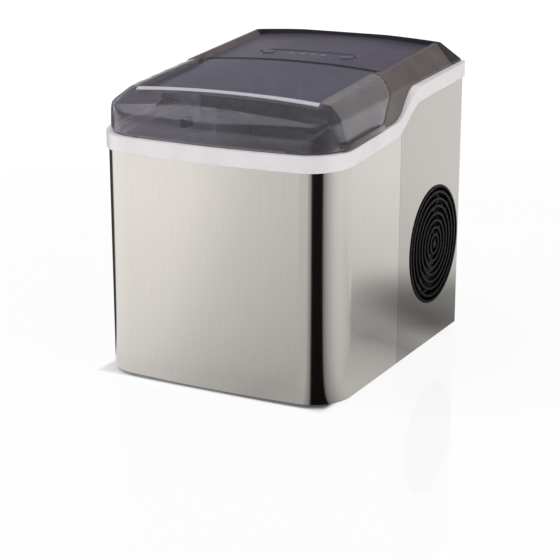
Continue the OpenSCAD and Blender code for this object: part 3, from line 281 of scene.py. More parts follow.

# Painted contact shadow: the glow that keeps the floor white stops at the machine's footprint, so
# that the gap under its pan stays dark.
footprint = (
    ("X", cad_low.x, cad_high.x - 14 * mm), ("Y", cad_low.y + 5 * mm, cad_high.y)
)
fade_outside = 2 * mm
fade_inside = 3 * mm
sides = nodes.new("ShaderNodeSeparateXYZ")
links.new(place, sides.inputs[0])
painted_shadow_mask = 1
for axis, low, high in footprint:
    past_low = map_range(nodes, links, sides.outputs[axis], low - fade_outside, low + fade_inside)
    past_high = map_range(
        nodes, links, sides.outputs[axis], high - fade_inside, high + fade_outside, 1, 0
    )
    between = math_node(nodes, links, "MULTIPLY", past_low, past_high)
    painted_shadow_mask = math_node(nodes, links, "MULTIPLY", painted_shadow_mask, between)
outside_painted_shadow = math_node(nodes, links, "SUBTRACT", 1, painted_shadow_mask)

floor_white = (0.93, 0.93, 0.94)
floor_glow = 1.21
mirror_white = (1, 0.985, 0.965)
gloss_rough = 0.05
glow_share = 0.9
shine_share = 0.2
matt = nodes.new("ShaderNodeBsdfDiffuse")
matt.inputs["Color"].default_value = (*floor_white, 1)
glow = glow_node(nodes, "ShaderNodeEmission", room_white, floor_glow)
# What the metal sees of the floor is this emission, at the painted reflection levels above.
mirrored = glow_node(nodes, "ShaderNodeEmission", mirror_white)
links.new(level, mirrored.inputs["Strength"])
gloss = nodes.new("ShaderNodeBsdfGlossy")
gloss.inputs["Color"].default_value = (*room_white, 1)
gloss.inputs["Roughness"].default_value = gloss_rough
ray = nodes.new("ShaderNodeLightPath")
seen = math_node(nodes, links, "MULTIPLY", seen_rays(nodes, links, ray), outside_painted_shadow)
glowing = math_node(nodes, links, "MULTIPLY", seen, glow_share)
shining = math_node(nodes, links, "MULTIPLY", seen, shine_share)
surface = blend_shaders(nodes, links, glowing, matt.outputs[0], glow.outputs[0])
surface = blend_shaders(
    nodes, links, ray.outputs["Is Glossy Ray"], surface, mirrored.outputs[0]
)
surface = blend_shaders(nodes, links, shining, surface, gloss.outputs[0])
links.new(surface, output.inputs["Surface"])


def softbox(name, turn, rise, distance, size, watts):
    """Square softbox that faces the machine."""
    lamp = bpy.data.lights.new(name, "AREA")
    lamp.shape = "SQUARE"
    lamp.size = size
    lamp.energy = watts
    place = aim + direction(math.radians(turn), math.radians(rise)) * distance
    lamp_object = look(bpy.data.objects.new(name, lamp), place, aim)
    lamp_object.visible_glossy = False


softbox("key_softbox", turn=-50, rise=48, distance=2.2, size=1.3, watts=19)
softbox("side_softbox", turn=80, rise=30, distance=2.4, size=1.0, watts=14)
softbox("top_softbox", turn=10, rise=80, distance=2.0, size=1.2, watts=4)


# ---------- base pan ----------
# Pressed tray of galvanised steel that carries the compressor and the walls, and a flat bulkhead
# of the same sheet behind the tub. The zinc shows as flat crystals of slightly different grey.

def finish(name, colour, rough, metal=0.0, specular=0.5, coat=0.0, coat_rough=0.1):
    """A material with one surface shader, its fixed values on the shader's own sockets."""
    material = bpy.data.materials.new(name)
    material.use_nodes = True
    nodes, links, output = clear_nodes(material.node_tree, "ShaderNodeOutputMaterial")
    shader = nodes.new("ShaderNodeBsdfPrincipled")
    shader.name = "surface"
    shader.inputs["Base Color"].default_value = (*colour, 1)
    shader.inputs["Roughness"].default_value = rough
    shader.inputs["Metallic"].default_value = metal
    shader.inputs["Specular IOR Level"].default_value = specular
    shader.inputs["Coat Weight"].default_value = coat
    shader.inputs["Coat Roughness"].default_value = coat_rough
    links.new(shader.outputs[0], output.inputs["Surface"])
    material.diffuse_color = (*colour, 1)
    return material


def srgb(red, green, blue):
    """Colour given on the 0 to 255 scale, as the linear values that shaders use."""
    return tuple(
        level / 12.92 if level <= 0.04045 else ((level + 0.055) / 1.055) ** 2.4
        for level in (red / 255, green / 255, blue / 255)
    )


def spread(material, scale, detail=2.0, stretch=(1, 1, 1), kind="noise"):
    """A pattern of noise or cells in object space, from 0 to 1. Scale is in features per metre."""
    nodes, links = material.node_tree.nodes, material.node_tree.links
    place = nodes.new("ShaderNodeTexCoord")
    mapping = nodes.new("ShaderNodeMapping")
    mapping.inputs["Scale"].default_value = stretch
    links.new(place.outputs["Object"], mapping.inputs["Vector"])
    if kind == "cells":
        texture = nodes.new("ShaderNodeTexVoronoi")
        texture.inputs["Scale"].default_value = scale
        cell_colour = nodes.new("ShaderNodeSeparateColor")
        links.new(texture.outputs["Color"], cell_colour.inputs[0])
        result = cell_colour.outputs[0]
    else:
        texture = nodes.new("ShaderNodeTexNoise")
        texture.inputs["Scale"].default_value = scale
        texture.inputs["Detail"].default_value = detail
        result = texture.outputs["Fac"]
    links.new(mapping.outputs[0], texture.inputs["Vector"])
    return result


def tint(material, factor, first, second, low=0.35, high=0.65):
    """Base colour that runs from the first to the second colour with a pattern."""
    nodes, links = material.node_tree.nodes, material.node_tree.links
    ramp = nodes.new("ShaderNodeValToRGB")
    ramp.color_ramp.elements[0].position = low
    ramp.color_ramp.elements[0].color = (*first, 1)
    ramp.color_ramp.elements[1].position = high
    ramp.color_ramp.elements[1].color = (*second, 1)
    links.new(factor, ramp.inputs[0])
    links.new(ramp.outputs[0], nodes["surface"].inputs["Base Color"])


def roughen(material, factor, low, high):
    """Roughness that runs between two values with the middle part of a pattern."""
    nodes, links = material.node_tree.nodes, material.node_tree.links
    pattern_low = 0.3
    pattern_high = 0.7
    rough = map_range(nodes, links, factor, pattern_low, pattern_high, low, high)
    links.new(rough, nodes["surface"].inputs["Roughness"])


def emboss(material, factor, depth, strength=1.0):
    """Relief of the given depth in metres, on top of any relief that is there."""
    nodes, links = material.node_tree.nodes, material.node_tree.links
    bump = nodes.new("ShaderNodeBump")
    bump.inputs["Strength"].default_value = strength
    bump.inputs["Distance"].default_value = depth
    links.new(factor, bump.inputs["Height"])
    normal = nodes["surface"].inputs["Normal"]
    if normal.links:
        links.new(normal.links[0].from_socket, bump.inputs["Normal"])
    links.new(bump.outputs[0], normal)


def soften(material, radius):
    """Shades sharp edges as moulded ones of that radius. It comes before any relief."""
    nodes, links = material.node_tree.nodes, material.node_tree.links
    bevel = nodes.new("ShaderNodeBevel")
    bevel.samples = 4
    bevel.inputs["Radius"].default_value = radius
    links.new(bevel.outputs[0], nodes["surface"].inputs["Normal"])


def dress(material, *names):
    """Gives CAD nodes their finish."""
    for name in names:
        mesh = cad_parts[name].data
        mesh.materials.clear()
        mesh.materials.append(material)


zinc = finish("zinc_coated_steel", srgb(176, 178, 180), 0.38, metal=0.9)
crystals = spread(zinc, 160, kind="cells")
tint(zinc, crystals, srgb(160, 163, 166), srgb(190, 192, 194), low=0.1, high=0.9)
roughen(zinc, spread(zinc, 90, detail=3), 0.3, 0.48)
dress(zinc, "base_pan", "bulkhead")


# ---------- feet ----------
# Four black rubber feet. Each is a moulded pad with a headed peg that is pulled through the pan,
# and its skin is dull and finely grained.

rubber = finish("foot_rubber", srgb(30, 30, 31), 0.75, specular=0.35)
tint(rubber, spread(rubber, 300, detail=4), srgb(24, 24, 25), srgb(44, 43, 43))
emboss(rubber, spread(rubber, 1800), 0.05 * mm)
dress(rubber, "feet")


# ---------- steel skin ----------
# Front wrap and two side panels of satin stainless sheet, grained up and down. The wrap is bent
# round both front corners, and the side panels are fixed to a lap strip behind an upright seam.

light_steel = (235, 231, 227)
dark_steel = (229, 225, 221)
fine_grain = (2600, 2600, 30)
broad_grain = (900, 900, 40)
# The side panels are the same steel painted a tenth darker, as painted shade.
for name, shade, panels in (
    ("satin_steel_wrap", 1.0, ("front_wrap",)),
    ("satin_steel_painted_shade_side", 0.9, ("side_panel_right", "side_panel_left")),
):
    light_grain = srgb(*(shade * level for level in light_steel))
    dark_grain = srgb(*(shade * level for level in dark_steel))
    steel = finish(name, light_grain, 0.1, metal=1.0)
    brushing = spread(steel, 1.0, detail=3, stretch=fine_grain)
    tint(steel, brushing, dark_grain, light_grain, low=0.3, high=0.7)
    roughen(steel, spread(steel, 1.0, detail=3, stretch=broad_grain), 0.085, 0.12)
    emboss(steel, brushing, 0.001 * mm, strength=0.12)
    dress(steel, *panels)


# ---------- rear panel ----------
# Flat sheet of zinc-coated steel, punched with two columns of slots and with round holes for the
# drain and the cord. Six screws fix it.

rear_zinc = finish("rear_zinc", srgb(188, 189, 190), 0.34, metal=0.9)
crystals = spread(rear_zinc, 120, kind="cells")
tint(rear_zinc, crystals, srgb(172, 174, 176), srgb(200, 201, 203), low=0.1, high=0.9)
roughen(rear_zinc, spread(rear_zinc, 60, detail=4), 0.27, 0.42)
dress(rear_zinc, "rear_panel")


# ---------- vents ----------
# Round grilles moulded in black plastic, one on each side: ring ribs on four diagonal spokes,
# pushed into a hole in the steel from inside and held by a flange.

grille_plastic = finish("grille_plastic", srgb(12, 12, 13), 0.5, specular=0.14)
tint(grille_plastic, spread(grille_plastic, 220, detail=3), srgb(9, 9, 10), srgb(17, 17, 18))
soften(grille_plastic, 0.25 * mm)
emboss(grille_plastic, spread(grille_plastic, 2200), 0.02 * mm)
dress(grille_plastic, "vent_grille_right", "vent_grille_left")


# ---------- trim ring ----------
# White ABS band round the top of the steel, moulded in one piece. It hooks inside the sheet, and
# the lid and the deck rest on it.

trim = finish("trim_abs", srgb(236, 232, 232), 0.3, coat=0.15, coat_rough=0.12)
tint(trim, spread(trim, 40, detail=3), srgb(233, 229, 230), srgb(239, 235, 235))
soften(trim, 0.7 * mm)
emboss(trim, spread(trim, 2500), 0.008 * mm)
dress(trim, "trim_ring")


# ---------- deck ----------
# Rear half of the top, moulded in brown-grey ABS with a fine spark texture, and coloured near-black
# at its rear edge.
# Its sunk top panel is a glossy violet-grey sheet under the controls.

def overpaint(material, colour, *ramps):
    """Another colour over part of the piece. A ramp is an axis with its start and end in metres."""
    nodes, links = material.node_tree.nodes, material.node_tree.links
    parts = nodes.new("ShaderNodeSeparateXYZ")
    links.new(nodes.new("ShaderNodeTexCoord").outputs["Object"], parts.inputs[0])
    share = 1
    for axis, start, end in ramps:
        ramp = map_range(nodes, links, parts.outputs[axis], start, end)
        share = math_node(nodes, links, "MULTIPLY", share, ramp)
    paint = nodes.new("ShaderNodeMix")
    paint.data_type = "RGBA"
    under, over, mixed = paint.inputs[6], paint.inputs[7], paint.outputs[2]
    base = nodes["surface"].inputs["Base Color"]
    links.new(share, paint.inputs["Factor"])
    links.new(base.links[0].from_socket, under)
    over.default_value = (*colour, 1)
    links.new(mixed, base)


deck = finish("deck_abs", srgb(100, 91, 88), 0.42)
tint(deck, spread(deck, 55, detail=4), srgb(95, 86, 84), srgb(105, 96, 93))
rim_start = 118.5 * mm
rim_full = 119.5 * mm
overpaint(deck, srgb(46, 41, 49), ("Y", rim_start, rim_full))
roughen(deck, spread(deck, 700), 0.36, 0.46)
soften(deck, 0.9 * mm)
emboss(deck, spread(deck, 2600), 0.015 * mm)
dress(deck, "deck_housing")

panel = finish("panel_gloss", srgb(74, 69, 86), 0.3)
tint(panel, spread(panel, 35), srgb(71, 66, 82), srgb(78, 73, 90))
soften(panel, 0.4 * mm)
emboss(panel, spread(panel, 1600), 0.004 * mm)
dress(panel, "deck_panel")


# ---------- controls ----------
# Two ABS push buttons and a row of pale lamp windows in a shallow lozenge, over a circuit board on
# posts under the deck. The mains board behind the tub is of the same green laminate.

button = finish("button_abs", srgb(92, 87, 103), 0.34)
tint(button, spread(button, 160, detail=3), srgb(88, 83, 98), srgb(97, 92, 108))
soften(button, 0.3 * mm)
emboss(button, spread(button, 2600), 0.012 * mm)
dress(button, "power_button", "select_button")

window = finish("lamp_window", srgb(150, 146, 168), 0.3)
tint(window, spread(window, 500), srgb(140, 136, 160), srgb(166, 162, 182))
emboss(window, spread(window, 900), 0.02 * mm)
dress(window, "indicator_lenses")

mask = finish("solder_mask", srgb(24, 84, 48), 0.28, coat=0.3)
tracks = spread(mask, 420, kind="cells")
tint(mask, tracks, srgb(20, 74, 42), srgb(44, 112, 66), low=0.62, high=0.7)
emboss(mask, tracks, 0.03 * mm)
dress(mask, "control_board", "power_board")


# ---------- lid ----------
# Clear lid injection-moulded in smoked styrene: a rounded nose, sloped flanks and a sunk top panel
# in one shell, 2.5 mm thick. It turns on two steel pins at the front edge of the deck, and has a
# finger tab over the trim on the right.

def see_through(material, share, index=1.5):
    """Lets a share of the light through, bent as the refractive index says."""
    surface = material.node_tree.nodes["surface"]
    surface.inputs["Transmission Weight"].default_value = share
    surface.inputs["IOR"].default_value = index


smoke = finish("smoked_styrene", srgb(214, 210, 220), 0.04)
see_through(smoke, 0.95, index=1.45)
tint(smoke, spread(smoke, 30), srgb(211, 207, 217), srgb(217, 213, 223))

# Painted highlight: the lip ahead of the sunk panel is made pale and nearly opaque, so that it
# reads as the bright band that light gives in the clear wall there.
lip_highlight = finish("painted_lip_highlight", srgb(202, 199, 206), 0.5)
see_through(lip_highlight, 0.15)
tint(lip_highlight, spread(lip_highlight, 300), srgb(198, 195, 202), srgb(206, 203, 210))
emboss(lip_highlight, spread(lip_highlight, 1800), 0.01 * mm)

hazed_panel = finish("hazed_panel", srgb(158, 151, 180), 0.1)
see_through(hazed_panel, 0.84)
tint(hazed_panel, spread(hazed_panel, 24), srgb(154, 147, 177), srgb(162, 155, 183))

hazed_flank = finish("hazed_flank", srgb(202, 197, 199), 0.12)
see_through(hazed_flank, 0.76)
tint(hazed_flank, spread(hazed_flank, 26), srgb(198, 193, 195), srgb(206, 201, 203))

tab_smoke = finish("tab_smoke", srgb(120, 115, 116), 0.12)
see_through(tab_smoke, 0.6)
tint(tab_smoke, spread(tab_smoke, 60), srgb(116, 111, 112), srgb(124, 119, 120))

# Painted shadow: a near-black strip along the lid's rear edge stands in for the shade in the gap
# behind it.
painted_gap_shadow = finish("painted_gap_shadow", srgb(16, 15, 18), 0.5)
tint(painted_gap_shadow, spread(painted_gap_shadow, 400), srgb(12, 11, 14), srgb(22, 21, 24))

lid_low, lid_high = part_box("lid")
lid_front = lid_low.y
lid_rear = lid_high.y
lid_half = 118 * mm
lid_wall = 2.5 * mm
lid_corner = 34 * mm
corner_steps = 12
# the ridge beside the top and the crease below it, at mid depth, and the slopes that meet there
ridge = Vector((99.5, 0, 273.2)) * mm
crease = Vector((112, 0, 258.45)) * mm
top_slope = 0.09
flank_slope = 1.18
wall_slope = 3.3
wall_lean = 0.13
# the nose rolls from its flat slope to upright
nose_start = lid_front + 32.3 * mm
nose_slope = math.radians(26)
nose_radius = 30 * mm
nose_steps = 14
# the front bows back towards its corners, and the top is crowned, most of all at the rear
lid_bow = 7 * mm
bow_reach = 90 * mm
crown_radius = 1.0
crown_foot = 235 * mm
crown_blend = 20 * mm
front_crown = 0.55
# the sunk panel, with a painted highlight on its lip ahead and a painted shadow strip along its
# rear edge
panel_half = 90.5 * mm
panel_edge = panel_half - 0.3 * mm
panel_front = nose_start + 0.5 * mm
panel_depth = 4.2 * mm
lip_width = 4.6 * mm
lip_depth = 20 * mm
gap_shadow_width = 3.4 * mm
# the open edges: along the trim, down the flanks beside the deck, and for the panel's side walls
trim_gap = 0.1 * mm
trim_slope = 0.082
flank_seam = [Vector((0, y, z)) * mm for y, z in ((-45.3, 231.5), (-14.5, 257.6), (-9.6, 272))]
seam_end = flank_seam[-1] + Vector((0, 0, 1))
wall_margin = 4.8 * mm
# what counts as touching a border, and as facing along an axis
touch = 0.1 * mm
facing = 0.8
facing_straight = 0.9
facing_away = 0.3


def everything(bm):
    """All vertices, edges and faces of a mesh."""
    return bm.verts[:] + bm.edges[:] + bm.faces[:]


def split(bm, place, across, parts=None, clear=False):
    """Splits faces along a plane, and can remove what lies beyond it."""
    return bmesh.ops.bisect_plane(
        bm, geom=parts or everything(bm), dist=1e-7, plane_co=place, plane_no=across,
        clear_outer=clear,
    )


def cut(bm, place, outward, cap=True):
    """Removes what lies beyond a plane, and closes the cut with one face."""
    result = split(bm, place, Vector(outward).normalized(), clear=True)
    edges = [part for part in result["geom_cut"] if isinstance(part, bmesh.types.BMEdge)]
    if cap and edges:
        bmesh.ops.contextual_create(bm, geom=edges)


def share_of(value, low, high):
    """How far a value is from low to high, as 0 to 1."""
    return min(1, max(0, (value - low) / (high - low)))


def new_piece(name, bm, materials, sharp_angle=math.pi):
    """Object at the origin from a bmesh, smooth except along edges sharper than the angle."""
    mesh = bpy.data.meshes.new(name)
    bm.to_mesh(mesh)
    bm.free()
    for material in materials:
        mesh.materials.append(material)
    mesh.shade_smooth()
    mesh.set_sharp_from_angle(angle=sharp_angle)
    piece = bpy.data.objects.new(name, mesh)
    scene.collection.objects.link(piece)
    return piece


def baked(piece):
    """The piece's mesh with its modifiers applied, as a bmesh. The piece is used up."""
    bpy.context.view_layer.update()
    shape = piece.evaluated_get(bpy.context.evaluated_depsgraph_get())
    bm = bmesh.new()
    bm.from_mesh(shape.to_mesh())
    shape.to_mesh_clear()
    bpy.data.objects.remove(piece)
    return bm


# Outside of the lid as one closed block: upright corners, flanks, nose and top.
block_rear = lid_rear + 30 * mm
block_height = 120 * mm
block_middle = 250 * mm
bm = bmesh.new()
bmesh.ops.create_cube(bm, size=1)
bmesh.ops.scale(bm, vec=(2 * lid_half, block_rear - lid_front, block_height), verts=bm.verts)
bmesh.ops.translate(bm, vec=(0, (block_rear + lid_front) / 2, block_middle), verts=bm.verts)
corners = [
    edge for edge in bm.edges
    if all(vert.co.y < lid_front + mm for vert in edge.verts)
    and abs(edge.verts[0].co.x - edge.verts[1].co.x) < mm
]
bmesh.ops.bevel(
    bm, geom=corners, offset=lid_corner, segments=corner_steps, profile=0.5, affect="EDGES",
    material=-1,
)
for side in (-1, 1):
    mirrored_side = Vector((side, 1, 1))
    cut(bm, ridge * mirrored_side, (flank_slope * side, -top_slope, 1))
    cut(bm, crease * mirrored_side, (wall_slope * side, -wall_lean, 1))
cut(bm, ridge, (0, -top_slope, 1))
nose_top = ridge.z + top_slope * nose_start
nose_y = lid_front + nose_radius
nose_z = nose_top + (
    -nose_radius - math.sin(nose_slope) * (nose_start - nose_y)
) / math.cos(nose_slope)
for step in range(nose_steps + 1):
    angle = nose_slope + (math.pi / 2 - nose_slope) * step / nose_steps
    outward = Vector((0, -math.sin(angle), math.cos(angle)))
    cut(bm, Vector((0, nose_y, nose_z)) + outward * nose_radius, outward)

# Soft edges all round, as the mould has them: remeshed finely and relaxed, then crowned and bowed.
block = new_piece("lid_block", bm, ())
remesh = block.modifiers.new("even_faces", "REMESH")
remesh.mode = "VOXEL"
remesh.voxel_size = 2.2 * mm
relax = block.modifiers.new("soft_edges", "SMOOTH")
relax.factor = 0.5
relax.iterations = 14
bm = baked(block)
for vert in bm.verts:
    crown = (ridge.x ** 2 - min(abs(vert.co.x), ridge.x) ** 2) / (2 * crown_radius)
    crown *= share_of(vert.co.z, crown_foot, crown_foot + crown_blend)
    rear_share = share_of(vert.co.y, panel_front, lid_rear)
    vert.co.z += crown * (front_crown + (1 - front_crown) * rear_share)
    front_share = 1 - share_of(vert.co.y, lid_front, lid_front + bow_reach)
    vert.co.y += lid_bow * (vert.co.x / lid_half) ** 2 * front_share

# Open underneath along the trim, and at the rear along the deck: straight behind the panel, sloped
# down the flanks.
cut(bm, (0, lid_front, lid_low.z + trim_gap), (0, trim_slope, -1), cap=False)
cut(bm, (0, lid_rear, 0), (0, 1, 0), cap=False)
for side in (-1, 1):
    split(bm, (side * panel_edge, 0, 0), (side, 0, 0))
for low, high in zip(flank_seam, flank_seam[1:] + [seam_end]):
    flanks = [face for face in bm.faces if abs(face.calc_center_median().x) > panel_edge]
    parts = dict.fromkeys(flanks)
    for face in flanks:
        parts.update(dict.fromkeys((*face.edges, *face.verts)))
    rise = high - low
    split(bm, low, (0, rise.z, -rise.y), list(parts), clear=True)

# The sunk panel: its outline is cut into the top, and the faces inside go down by its depth. What
# the move leaves standing across the open rear edge is removed.
split(bm, (0, panel_front, 0), (0, 1, 0))
sunk = []
for face in bm.faces:
    place = face.calc_center_median()
    in_panel = place.y > panel_front and abs(place.x) < panel_edge
    if in_panel and face.normal.z > facing_straight:
        sunk.append(face)
result = bmesh.ops.extrude_face_region(bm, geom=sunk)
moved = [part for part in result["geom"] if isinstance(part, bmesh.types.BMVert)]
bmesh.ops.translate(bm, vec=(0, 0, -panel_depth), verts=moved)
bmesh.ops.delete(bm, geom=[face for face in sunk if face.is_valid], context="FACES_ONLY")
rear_walls = [
    face for face in bm.faces
    if face.calc_center_median().y > lid_rear - 2 * touch and abs(face.normal.z) < facing_away
]
bmesh.ops.delete(bm, geom=rear_walls, context="FACES")
bm.normal_update()

# Each area's finish, by its number in the shell's list of materials. Behind the flank seam the
# panel's side walls would stand up beside the deck, so they go.
lip_area, panel_area, flank_area, gap_shadow_area = range(1, 5)
for border in (lid_rear - gap_shadow_width, panel_front - lip_width):
    split(bm, (0, border, 0), (0, 1, 0))
side_walls = []
for face in bm.faces:
    place = face.calc_center_median()
    inside = abs(place.x) < panel_edge + touch
    on_lip = panel_front - lip_width < place.y < panel_front + touch
    if on_lip and inside and place.z > ridge.z - lip_depth:
        face.material_index = lip_area
    elif place.y > panel_front and not inside:
        face.material_index = flank_area
    elif place.y > lid_rear - gap_shadow_width:
        face.material_index = gap_shadow_area
    elif place.y > panel_front and face.normal.z > facing:
        face.material_index = panel_area
    elif place.y > panel_front:
        face.material_index = flank_area
    if inside and abs(face.normal.x) > facing and place.y > flank_seam[1].y + wall_margin:
        side_walls.append(face)
bmesh.ops.delete(bm, geom=side_walls, context="FACES")
bmesh.ops.recalc_face_normals(bm, faces=bm.faces)
lid_shell = new_piece(
    "lid_shell", bm, (smoke, lip_highlight, hazed_panel, hazed_flank, painted_gap_shadow), math.radians(32)
)
wall = lid_shell.modifiers.new("wall", "SOLIDIFY")
wall.thickness = lid_wall
wall.offset = -1
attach(lid_shell, "lid")
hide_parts("lid")

# Knuckles that turn on the pins, moulded under the panel's edge.
pin_low, pin_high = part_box("hinge_pins")
hinge_y = (pin_low.y + pin_high.y) / 2
hinge_z = (pin_low.z + pin_high.z) / 2
knuckle_length = 9 * mm
knuckle_radius = 3.2 * mm
knuckle_bore = 1.56 * mm
for side, name in ((-1, "left"), (1, "right")):
    bm = bmesh.new()
    outline = [
        bm.verts.new((side * (panel_edge - along), hinge_y, hinge_z + radius))
        for along, radius in (
            (0, knuckle_radius), (knuckle_length, knuckle_radius),
            (knuckle_length, knuckle_bore), (0, knuckle_bore),
        )
    ]
    ring = [bm.edges.new((outline[i - 1], outline[i])) for i in (1, 2, 3, 0)]
    bmesh.ops.spin(
        bm, geom=outline + ring, cent=(0, hinge_y, hinge_z), axis=(1, 0, 0),
        angle=math.tau, steps=24, use_merge=True,
    )
    bmesh.ops.remove_doubles(bm, verts=bm.verts, dist=1e-6)
    bmesh.ops.recalc_face_normals(bm, faces=bm.faces)
    knuckle = new_piece("lid_knuckle_" + name, bm, (smoke,), math.radians(32))
    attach(knuckle, "lid")

# Finger tab: a flat blade over the trim with a raised grip along its outer edge. Each has a width,
# a length, a thickness, a lift, and a distance in from the lid's side.
tab_centre = lid_front + 58.3 * mm
tab_height = 232.2 * mm
tab_round = 0.7 * mm
blade = (9.4 * mm, 72 * mm, 2.2 * mm, 0, 0.3 * mm)
grip = (2 * mm, 68.4 * mm, 4.2 * mm, 0.9 * mm, 0)
bm = bmesh.new()
for width, length, thickness, lift, inset in (blade, grip):
    verts = bmesh.ops.create_cube(bm, size=1)["verts"]
    bmesh.ops.scale(bm, vec=(width, length, thickness), verts=verts)
    middle = (lid_high.x - width / 2 - inset, tab_centre, tab_height + lift)
    bmesh.ops.translate(bm, vec=middle, verts=verts)
bmesh.ops.bevel(
    bm, geom=bm.edges[:], offset=tab_round, segments=2, profile=0.5, affect="EDGES", material=-1
)
for vert in bm.verts:
    vert.co.z += trim_slope * (vert.co.y - tab_centre)
tab = new_piece("lid_finger_tab", bm, (tab_smoke,), math.radians(40))
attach(tab, "lid")


# ---------- pins and screws ----------
# Hinge pins, the tray's shaft, the compressor's bolts and the case screws, turned from bright
# stainless steel. The hinge pins are pushed into the deck's lugs.

pin_steel = finish("pin_steel", srgb(190, 190, 192), 0.25, metal=1.0)
roughen(pin_steel, spread(pin_steel, 900, detail=3), 0.2, 0.34)
tint(pin_steel, spread(pin_steel, 400, detail=3), srgb(178, 178, 182), srgb(200, 200, 203))
dress(pin_steel, "hinge_pins", "tray_shaft", "mount_bolts", "case_screws")


# ---------- tub ----------
# Pale grey moulded tub with a stepped alcove behind it, with painted shade in the alcove's upper
# part, and a separate collar under the trim. Foam is cast round it.

tub = finish("tub_plastic", srgb(236, 235, 238), 0.4)
tint(tub, spread(tub, 45, detail=3), srgb(232, 231, 234), srgb(240, 239, 242))
# Painted shade: the alcove's upper part is coloured dark where little light reaches it.
alcove_mouth = ("Y", 3 * mm, 6 * mm)
alcove_top = ("Z", 208 * mm, 228 * mm)
overpaint(tub, srgb(52, 51, 56), alcove_mouth, alcove_top)
soften(tub, 0.8 * mm)
emboss(tub, spread(tub, 2200), 0.012 * mm)
dress(tub, "inner_liner", "tub_collar")

foam = finish("cast_foam", srgb(214, 196, 140), 0.85, specular=0.2)
tint(foam, spread(foam, 60, detail=6), srgb(200, 178, 118), srgb(226, 210, 160))
emboss(foam, spread(foam, 900, kind="cells"), 0.4 * mm)
dress(foam, "liner_insulation")


# ---------- ice basket ----------
# White basket moulded in one piece, with slots in its floor and walls. It hangs by its lip on two
# ribs in the tub and lifts straight out.

basket = finish("basket_plastic", srgb(234, 234, 236), 0.38)
tint(basket, spread(basket, 70, detail=3), srgb(229, 230, 232), srgb(239, 239, 241))
soften(basket, 0.5 * mm)
emboss(basket, spread(basket, 2000), 0.012 * mm)
dress(basket, "ice_basket")


# ---------- ice mechanism ----------
# Nickel-plated fingers hang from a header of plated pipe into a tilting tray of smoked plastic,
# and a shovel on the tray's shaft pushes the dropped ice forward. A motor turns the shaft.

nickel = finish("nickel_plate", srgb(232, 229, 224), 0.3, metal=0.3)
tint(nickel, spread(nickel, 260, detail=4), srgb(224, 220, 214), srgb(240, 238, 234))
roughen(nickel, spread(nickel, 500, detail=3), 0.14, 0.3)
dress(nickel, "evaporator_fingers", "evaporator_header")

white = finish("white_acetal", srgb(226, 227, 229), 0.35)
tint(white, spread(white, 80, detail=3), srgb(219, 220, 223), srgb(232, 232, 234))
soften(white, 0.4 * mm)
emboss(white, spread(white, 2100), 0.01 * mm)
dress(
    white, "ice_shovel", "water_nozzle", "shaft_bushes", "float_stem", "drain_spout",
    "water_pump",
)

motor = finish("motor_case", srgb(78, 78, 82), 0.45)
tint(motor, spread(motor, 140, detail=3), srgb(70, 70, 74), srgb(86, 86, 90))
soften(motor, 0.5 * mm)
emboss(motor, spread(motor, 1900), 0.02 * mm)
dress(motor, "tray_motor", "fan_shroud", "fan_rotor", "ice_sensors")

dark_tray = finish("dark_tray", srgb(128, 128, 136), 0.15)
see_through(dark_tray, 0.9)
tint(dark_tray, spread(dark_tray, 120, detail=3), srgb(120, 120, 128), srgb(136, 136, 144))
emboss(dark_tray, spread(dark_tray, 1900), 0.015 * mm)
dress(dark_tray, "water_tray", "evaporator_bracket")


# ---------- water circuit ----------
# Small pump with a silicone hose and a stainless strainer, an orange float on a stem, and a drain
# to the rear with a silicone plug. The pieces are moulded and push together.

silicone = finish("silicone_hose", srgb(222, 222, 218), 0.42, specular=0.4)
silicone.node_tree.nodes["surface"].inputs["Alpha"].default_value = 0.85
tint(silicone, spread(silicone, 150, detail=3), srgb(214, 214, 210), srgb(230, 230, 226))
emboss(silicone, spread(silicone, 1200), 0.02 * mm)
dress(silicone, "supply_hose", "drain_pipe", "drain_plug")

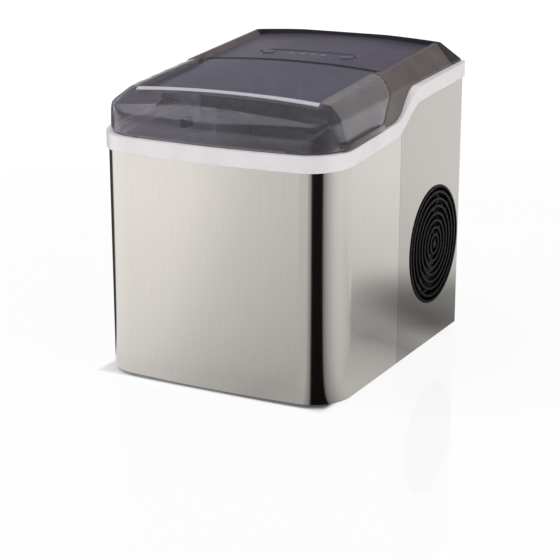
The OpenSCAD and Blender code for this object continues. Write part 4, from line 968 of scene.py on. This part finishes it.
strainer = finish("strainer_steel", srgb(196, 196, 198), 0.28, metal=1.0)
tint(strainer, spread(strainer, 500, detail=3), srgb(180, 180, 183), srgb(206, 206, 208))
emboss(strainer, spread(strainer, 1500, kind="cells"), 0.06 * mm)
dress(strainer, "pump_screen")

float_plastic = finish("float_plastic", srgb(226, 112, 40), 0.45)
tint(float_plastic, spread(float_plastic, 160, detail=4), srgb(212, 100, 32), srgb(236, 124, 50))
emboss(float_plastic, spread(float_plastic, 1700), 0.03 * mm)
dress(float_plastic, "level_float")


# ---------- refrigeration ----------
# Black enamelled compressor on rubber mounts, an aluminium-finned condenser and a small fan. The
# circuit's pipes are of drawn copper, brazed at their ends, with a blue coil on the valve.

copper = finish("drawn_copper", srgb(196, 128, 92), 0.3, metal=1.0)
tint(copper, spread(copper, 120, detail=5), srgb(164, 96, 66), srgb(212, 146, 108))
roughen(copper, spread(copper, 200, detail=4), 0.22, 0.45)
dress(
    copper, "condenser_coil", "filter_drier", "discharge_pipe", "suction_pipe", "liquid_pipe",
    "capillary_tube",
)

enamel = finish("black_enamel", srgb(22, 22, 24), 0.22, coat=0.5, coat_rough=0.06)
tint(enamel, spread(enamel, 90, detail=3), srgb(18, 18, 20), srgb(30, 30, 32))
emboss(enamel, spread(enamel, 700, detail=3), 0.05 * mm)
dress(enamel, "compressor", "fan_motor")

mount_rubber = finish("mount_rubber", srgb(40, 40, 41), 0.7, specular=0.35)
tint(mount_rubber, spread(mount_rubber, 300, detail=4), srgb(32, 32, 33), srgb(50, 49, 49))
emboss(mount_rubber, spread(mount_rubber, 1500), 0.05 * mm)
dress(mount_rubber, "compressor_mounts", "cord_gland")

aluminium = finish("fin_aluminium", srgb(204, 206, 208), 0.3, metal=1.0)
tint(aluminium, spread(aluminium, 200, detail=4), srgb(190, 192, 195), srgb(214, 216, 218))
ripple = spread(aluminium, 1.0, detail=1, stretch=(40, 40, 320))
emboss(aluminium, ripple, 0.15 * mm)
dress(aluminium, "condenser_fins")

valve = finish("valve_coil", srgb(46, 92, 148), 0.4)
tint(valve, spread(valve, 150, detail=3), srgb(38, 80, 132), srgb(54, 104, 164))
emboss(valve, spread(valve, 1500), 0.03 * mm)
dress(valve, "hot_gas_valve")
